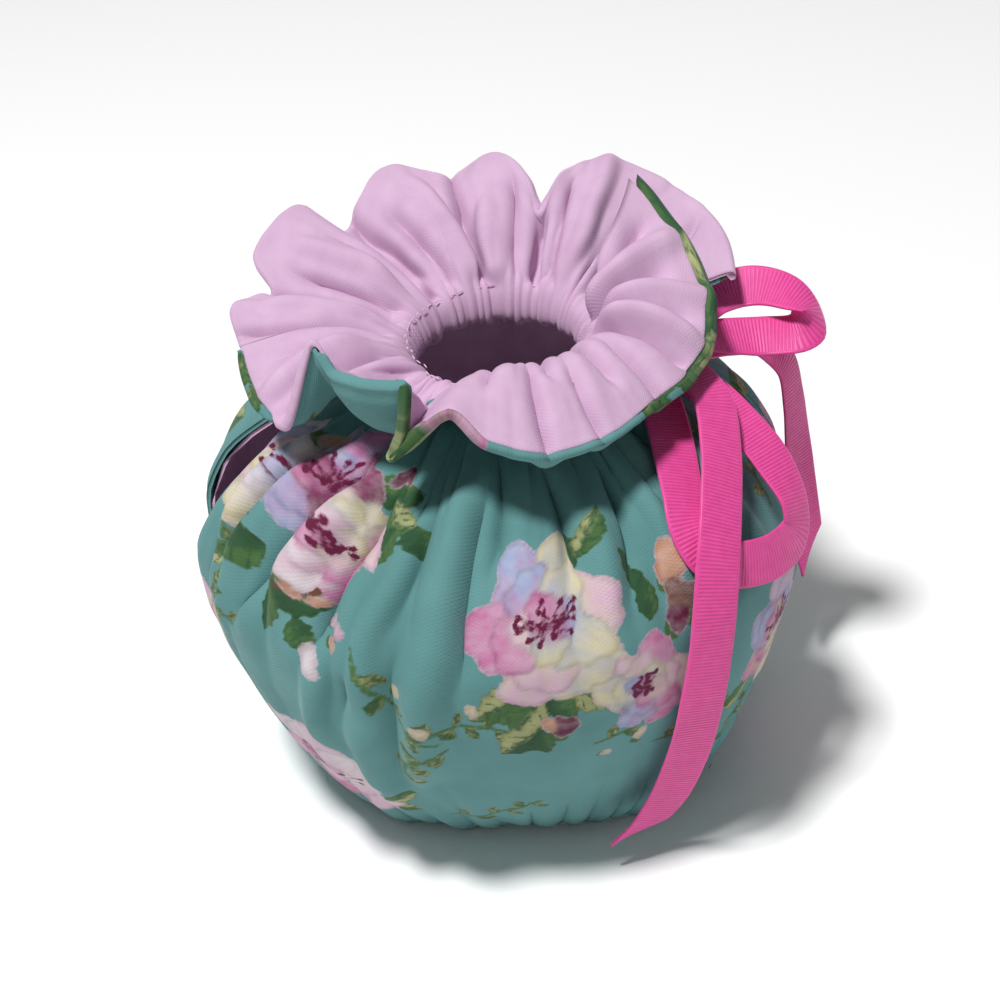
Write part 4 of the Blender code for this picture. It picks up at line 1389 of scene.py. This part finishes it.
printedCotton = printedCottonMaterial(printValues)
dyedLining = liningMaterial(liningValues)
halves = {}
for side, node in (("Front", "front"), ("Back", "back")):
    half = halfSurface(side, clothValues)
    cover, coverGrid = addCover(half, printedCotton, clothValues)
    inner, liningGrid = addLining(half, dyedLining, clothValues)
    for piece, cad, slot, width, length, area in (
        (cover, "cover_" + node, "printed_cotton", 0.270, 0.225, 0.050),
        (inner, "lining_" + node, "plain_cotton", 0.260, 0.215, 0.046),
    ):
        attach(piece, "root")
        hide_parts(cad)
    halves[side] = {"cover": coverGrid, "lining": liningGrid}
    print("cloth", side, len(cover.data.polygons), len(inner.data.polygons))

# stitches: the seam that draws in the neck and the hem's seam

stitchValues = {
    "pitch": 3.0,          # mm from one stitch to the next
    "length": 2.3,
    "thread": 0.42,
    "lift": 0.08,          # how far the thread lies off the cloth
    "neckRow": 0.985,      # the cloth's v, as in clothPoints
    "liningRow": 2.02,
    "hemRow": 9.0,         # mm above the hem
    "coverThread": "#8DB3AE",
    "liningThread": "#D9B5D0",
}


def threadMaterial(name, colour):
    # spun cotton thread: dull, with a soft fuzz at its edges
    material = bpy.data.materials.new(name)
    material.use_nodes = True
    shader = material.node_tree.nodes["Principled BSDF"]
    shader.inputs["Base Color"].default_value = hexColour(colour)
    shader.inputs["Roughness"].default_value = 0.75
    shader.inputs["Sheen Weight"].default_value = 0.25
    return material


def stitchGroup(material):
    # lays one short thread after another along an edge path
    group = bpy.data.node_groups.new("stitchRow", "GeometryNodeTree")
    face = group.interface
    face.new_socket(name="Path", in_out="INPUT", socket_type="NodeSocketGeometry")
    for name, value in (("Pitch", 0.003), ("Stitch Length", 0.0023), ("Thread", 0.0004)):
        socket = face.new_socket(name=name, in_out="INPUT", socket_type="NodeSocketFloat")
        socket.default_value = value
    face.new_socket(name="Seed", in_out="INPUT", socket_type="NodeSocketInt")
    face.new_socket(name="Stitches", in_out="OUTPUT", socket_type="NodeSocketGeometry")
    put = addNode(group, "NodeGroupInput")
    curve = addNode(group, "GeometryNodeMeshToCurve", {"Mesh": put.outputs["Path"]})
    spaced = addNode(group, "GeometryNodeResampleCurve", {
        "Curve": curve.outputs[0], "Length": put.outputs["Pitch"],
    }, mode="LENGTH")
    bead = addNode(group, "GeometryNodeMeshUVSphere", {"Segments": 6, "Rings": 5, "Radius": 0.5})
    across = addNode(group, "ShaderNodeMath", {0: put.outputs["Thread"], 1: 0.8}, operation="MULTIPLY")
    size = addNode(group, "ShaderNodeCombineXYZ", {
        "X": put.outputs["Stitch Length"], "Y": put.outputs["Thread"], "Z": across.outputs[0],
    })
    thread = addNode(group, "GeometryNodeTransform", {"Geometry": bead.outputs[0], "Scale": size.outputs[0]})
    tangent = addNode(group, "GeometryNodeInputTangent")
    turn = addNode(group, "FunctionNodeAlignRotationToVector", {"Vector": tangent.outputs[0]}, axis="X")
    uneven = addNode(group, "FunctionNodeRandomValue", {
        "Min": (0.85, 0.9, 0.9), "Max": (1.1, 1.1, 1.1), "Seed": put.outputs["Seed"],
    }, data_type="FLOAT_VECTOR")
    placed = addNode(group, "GeometryNodeInstanceOnPoints", {
        "Points": spaced.outputs[0], "Instance": thread.outputs[0],
        "Rotation": turn.outputs[0], "Scale": uneven.outputs[0],
    })
    real = addNode(group, "GeometryNodeRealizeInstances", {"Geometry": placed.outputs[0]})
    dressed = addNode(group, "GeometryNodeSetMaterial", {"Geometry": real.outputs[0]})
    dressed.inputs["Material"].default_value = material
    addNode(group, "NodeGroupOutput", {"Stitches": dressed.outputs[0]})
    return group


def seamLine(grid, at, lift, inset=0):
    # a line of a half's surface at one v, lifted off the cloth
    v, points = grid
    rows = v[:, 0]
    full = float(np.interp(at, rows, np.arange(len(rows))))
    low = int(full)
    line = points[low] * (1.0 - full + low) + points[low + 1] * (full - low)
    normal = gridNormals(points, 2)[low]
    line = line + normal * lift
    return line[inset:len(line) - inset]


def addStitches(name, lines, material, values, seed):
    points, edges = [], []
    for line in lines:
        first = len(points)
        points += [tuple(point * mm) for point in line]
        edges += [(first + k, first + k + 1) for k in range(len(line) - 1)]
    mesh = bpy.data.meshes.new(name + "Path")
    mesh.from_pydata(points, edges, [])
    path = addItem(name + "Path", mesh)
    group = stitchGroup(material)
    modifier = path.modifiers.new("stitches", "NODES")
    modifier.node_group = group
    chosen = {
        "Pitch": values["pitch"] * mm, "Stitch Length": values["length"] * mm,
        "Thread": values["thread"] * mm, "Seed": seed,
    }
    for socket in group.interface.items_tree:
        if socket.name in chosen:
            modifier[socket.identifier] = chosen[socket.name]
    ready = path.evaluated_get(bpy.context.evaluated_depsgraph_get())
    stitched = bpy.data.meshes.new_from_object(ready)
    path.modifiers.remove(modifier)
    bpy.data.objects.remove(path)
    for face in stitched.polygons:
        face.use_smooth = True
    print("stitches", name, len(stitched.polygons))
    return addItem(name, stitched)


coverThread = threadMaterial("tealCottonThread", stitchValues["coverThread"])
liningThread = threadMaterial("lilacCottonThread", stitchValues["liningThread"])
clothRows = halfRows(clothValues)
hemAt = float(np.interp(stitchValues["hemRow"], arcLength(clothRows), clothRows))
for order, side in enumerate(halves):
    lift = stitchValues["lift"]
    cover = halves[side]["cover"]
    outerLines = [seamLine(cover, stitchValues["neckRow"], lift, 16), seamLine(cover, hemAt, lift, 6)]
    innerLines = [seamLine(halves[side]["lining"], stitchValues["liningRow"], -lift, 8)]
    for name, lines, thread, slot, seed in (
        ("coverStitches", outerLines, coverThread, "printed_cotton", 11),
        ("liningStitches", innerLines, liningThread, "plain_cotton", 21),
    ):
        stitched = addStitches(name + side, lines, thread, stitchValues, seed + order)
        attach(stitched, "root")

# floor, lights, surroundings

stageValues = {
    "floor": "#FFFFFF",
    "floorHalf": 4.0,
    "world": 0.17,
    # where each lamp stands, in metres, how wide it is and its power
    "key": ((-0.50, -0.44, 2.10), 0.36, 46.0),
    "fill": ((1.2, -1.4, 0.9), 1.4, 1.0),
    "top": ((0.2, 0.9, 2.1), 1.2, 3.2),
}


def addLight(name, place, size, power):
    lamp = bpy.data.lights.new(name, "AREA")
    lamp.shape = "DISK"
    lamp.size = size
    lamp.energy = power
    item = addItem(name, lamp)
    item.location = place
    towards = Vector((0.0, 0.0, 0.08)) - Vector(place)
    item.rotation_euler = towards.to_track_quat("-Z", "Y").to_euler()


def addStage(values):
    mesh = bpy.data.meshes.new("floor")
    edge = values["floorHalf"]
    corners = [(-edge, -edge, 0), (edge, -edge, 0), (edge, edge, 0), (-edge, edge, 0)]
    mesh.from_pydata(corners, [], [(0, 1, 2, 3)])
    paint = bpy.data.materials.new("floorPaint")
    paint.use_nodes = True
    shader = paint.node_tree.nodes["Principled BSDF"]
    shader.inputs["Base Color"].default_value = hexColour(values["floor"])
    shader.inputs["Roughness"].default_value = 0.9
    mesh.materials.append(paint)
    addItem("floor", mesh)
    world = bpy.data.worlds.new("softStudio")
    world.use_nodes = True
    sky = world.node_tree.nodes["Background"]
    sky.inputs["Color"].default_value = (1.0, 1.0, 1.0, 1.0)
    sky.inputs["Strength"].default_value = values["world"]
    bpy.context.scene.world = world
    for name in ("key", "fill", "top"):
        addLight(name, *values[name])


addStage(stageValues)
bpy.context.scene.view_settings.view_transform = "Standard"

print("done")
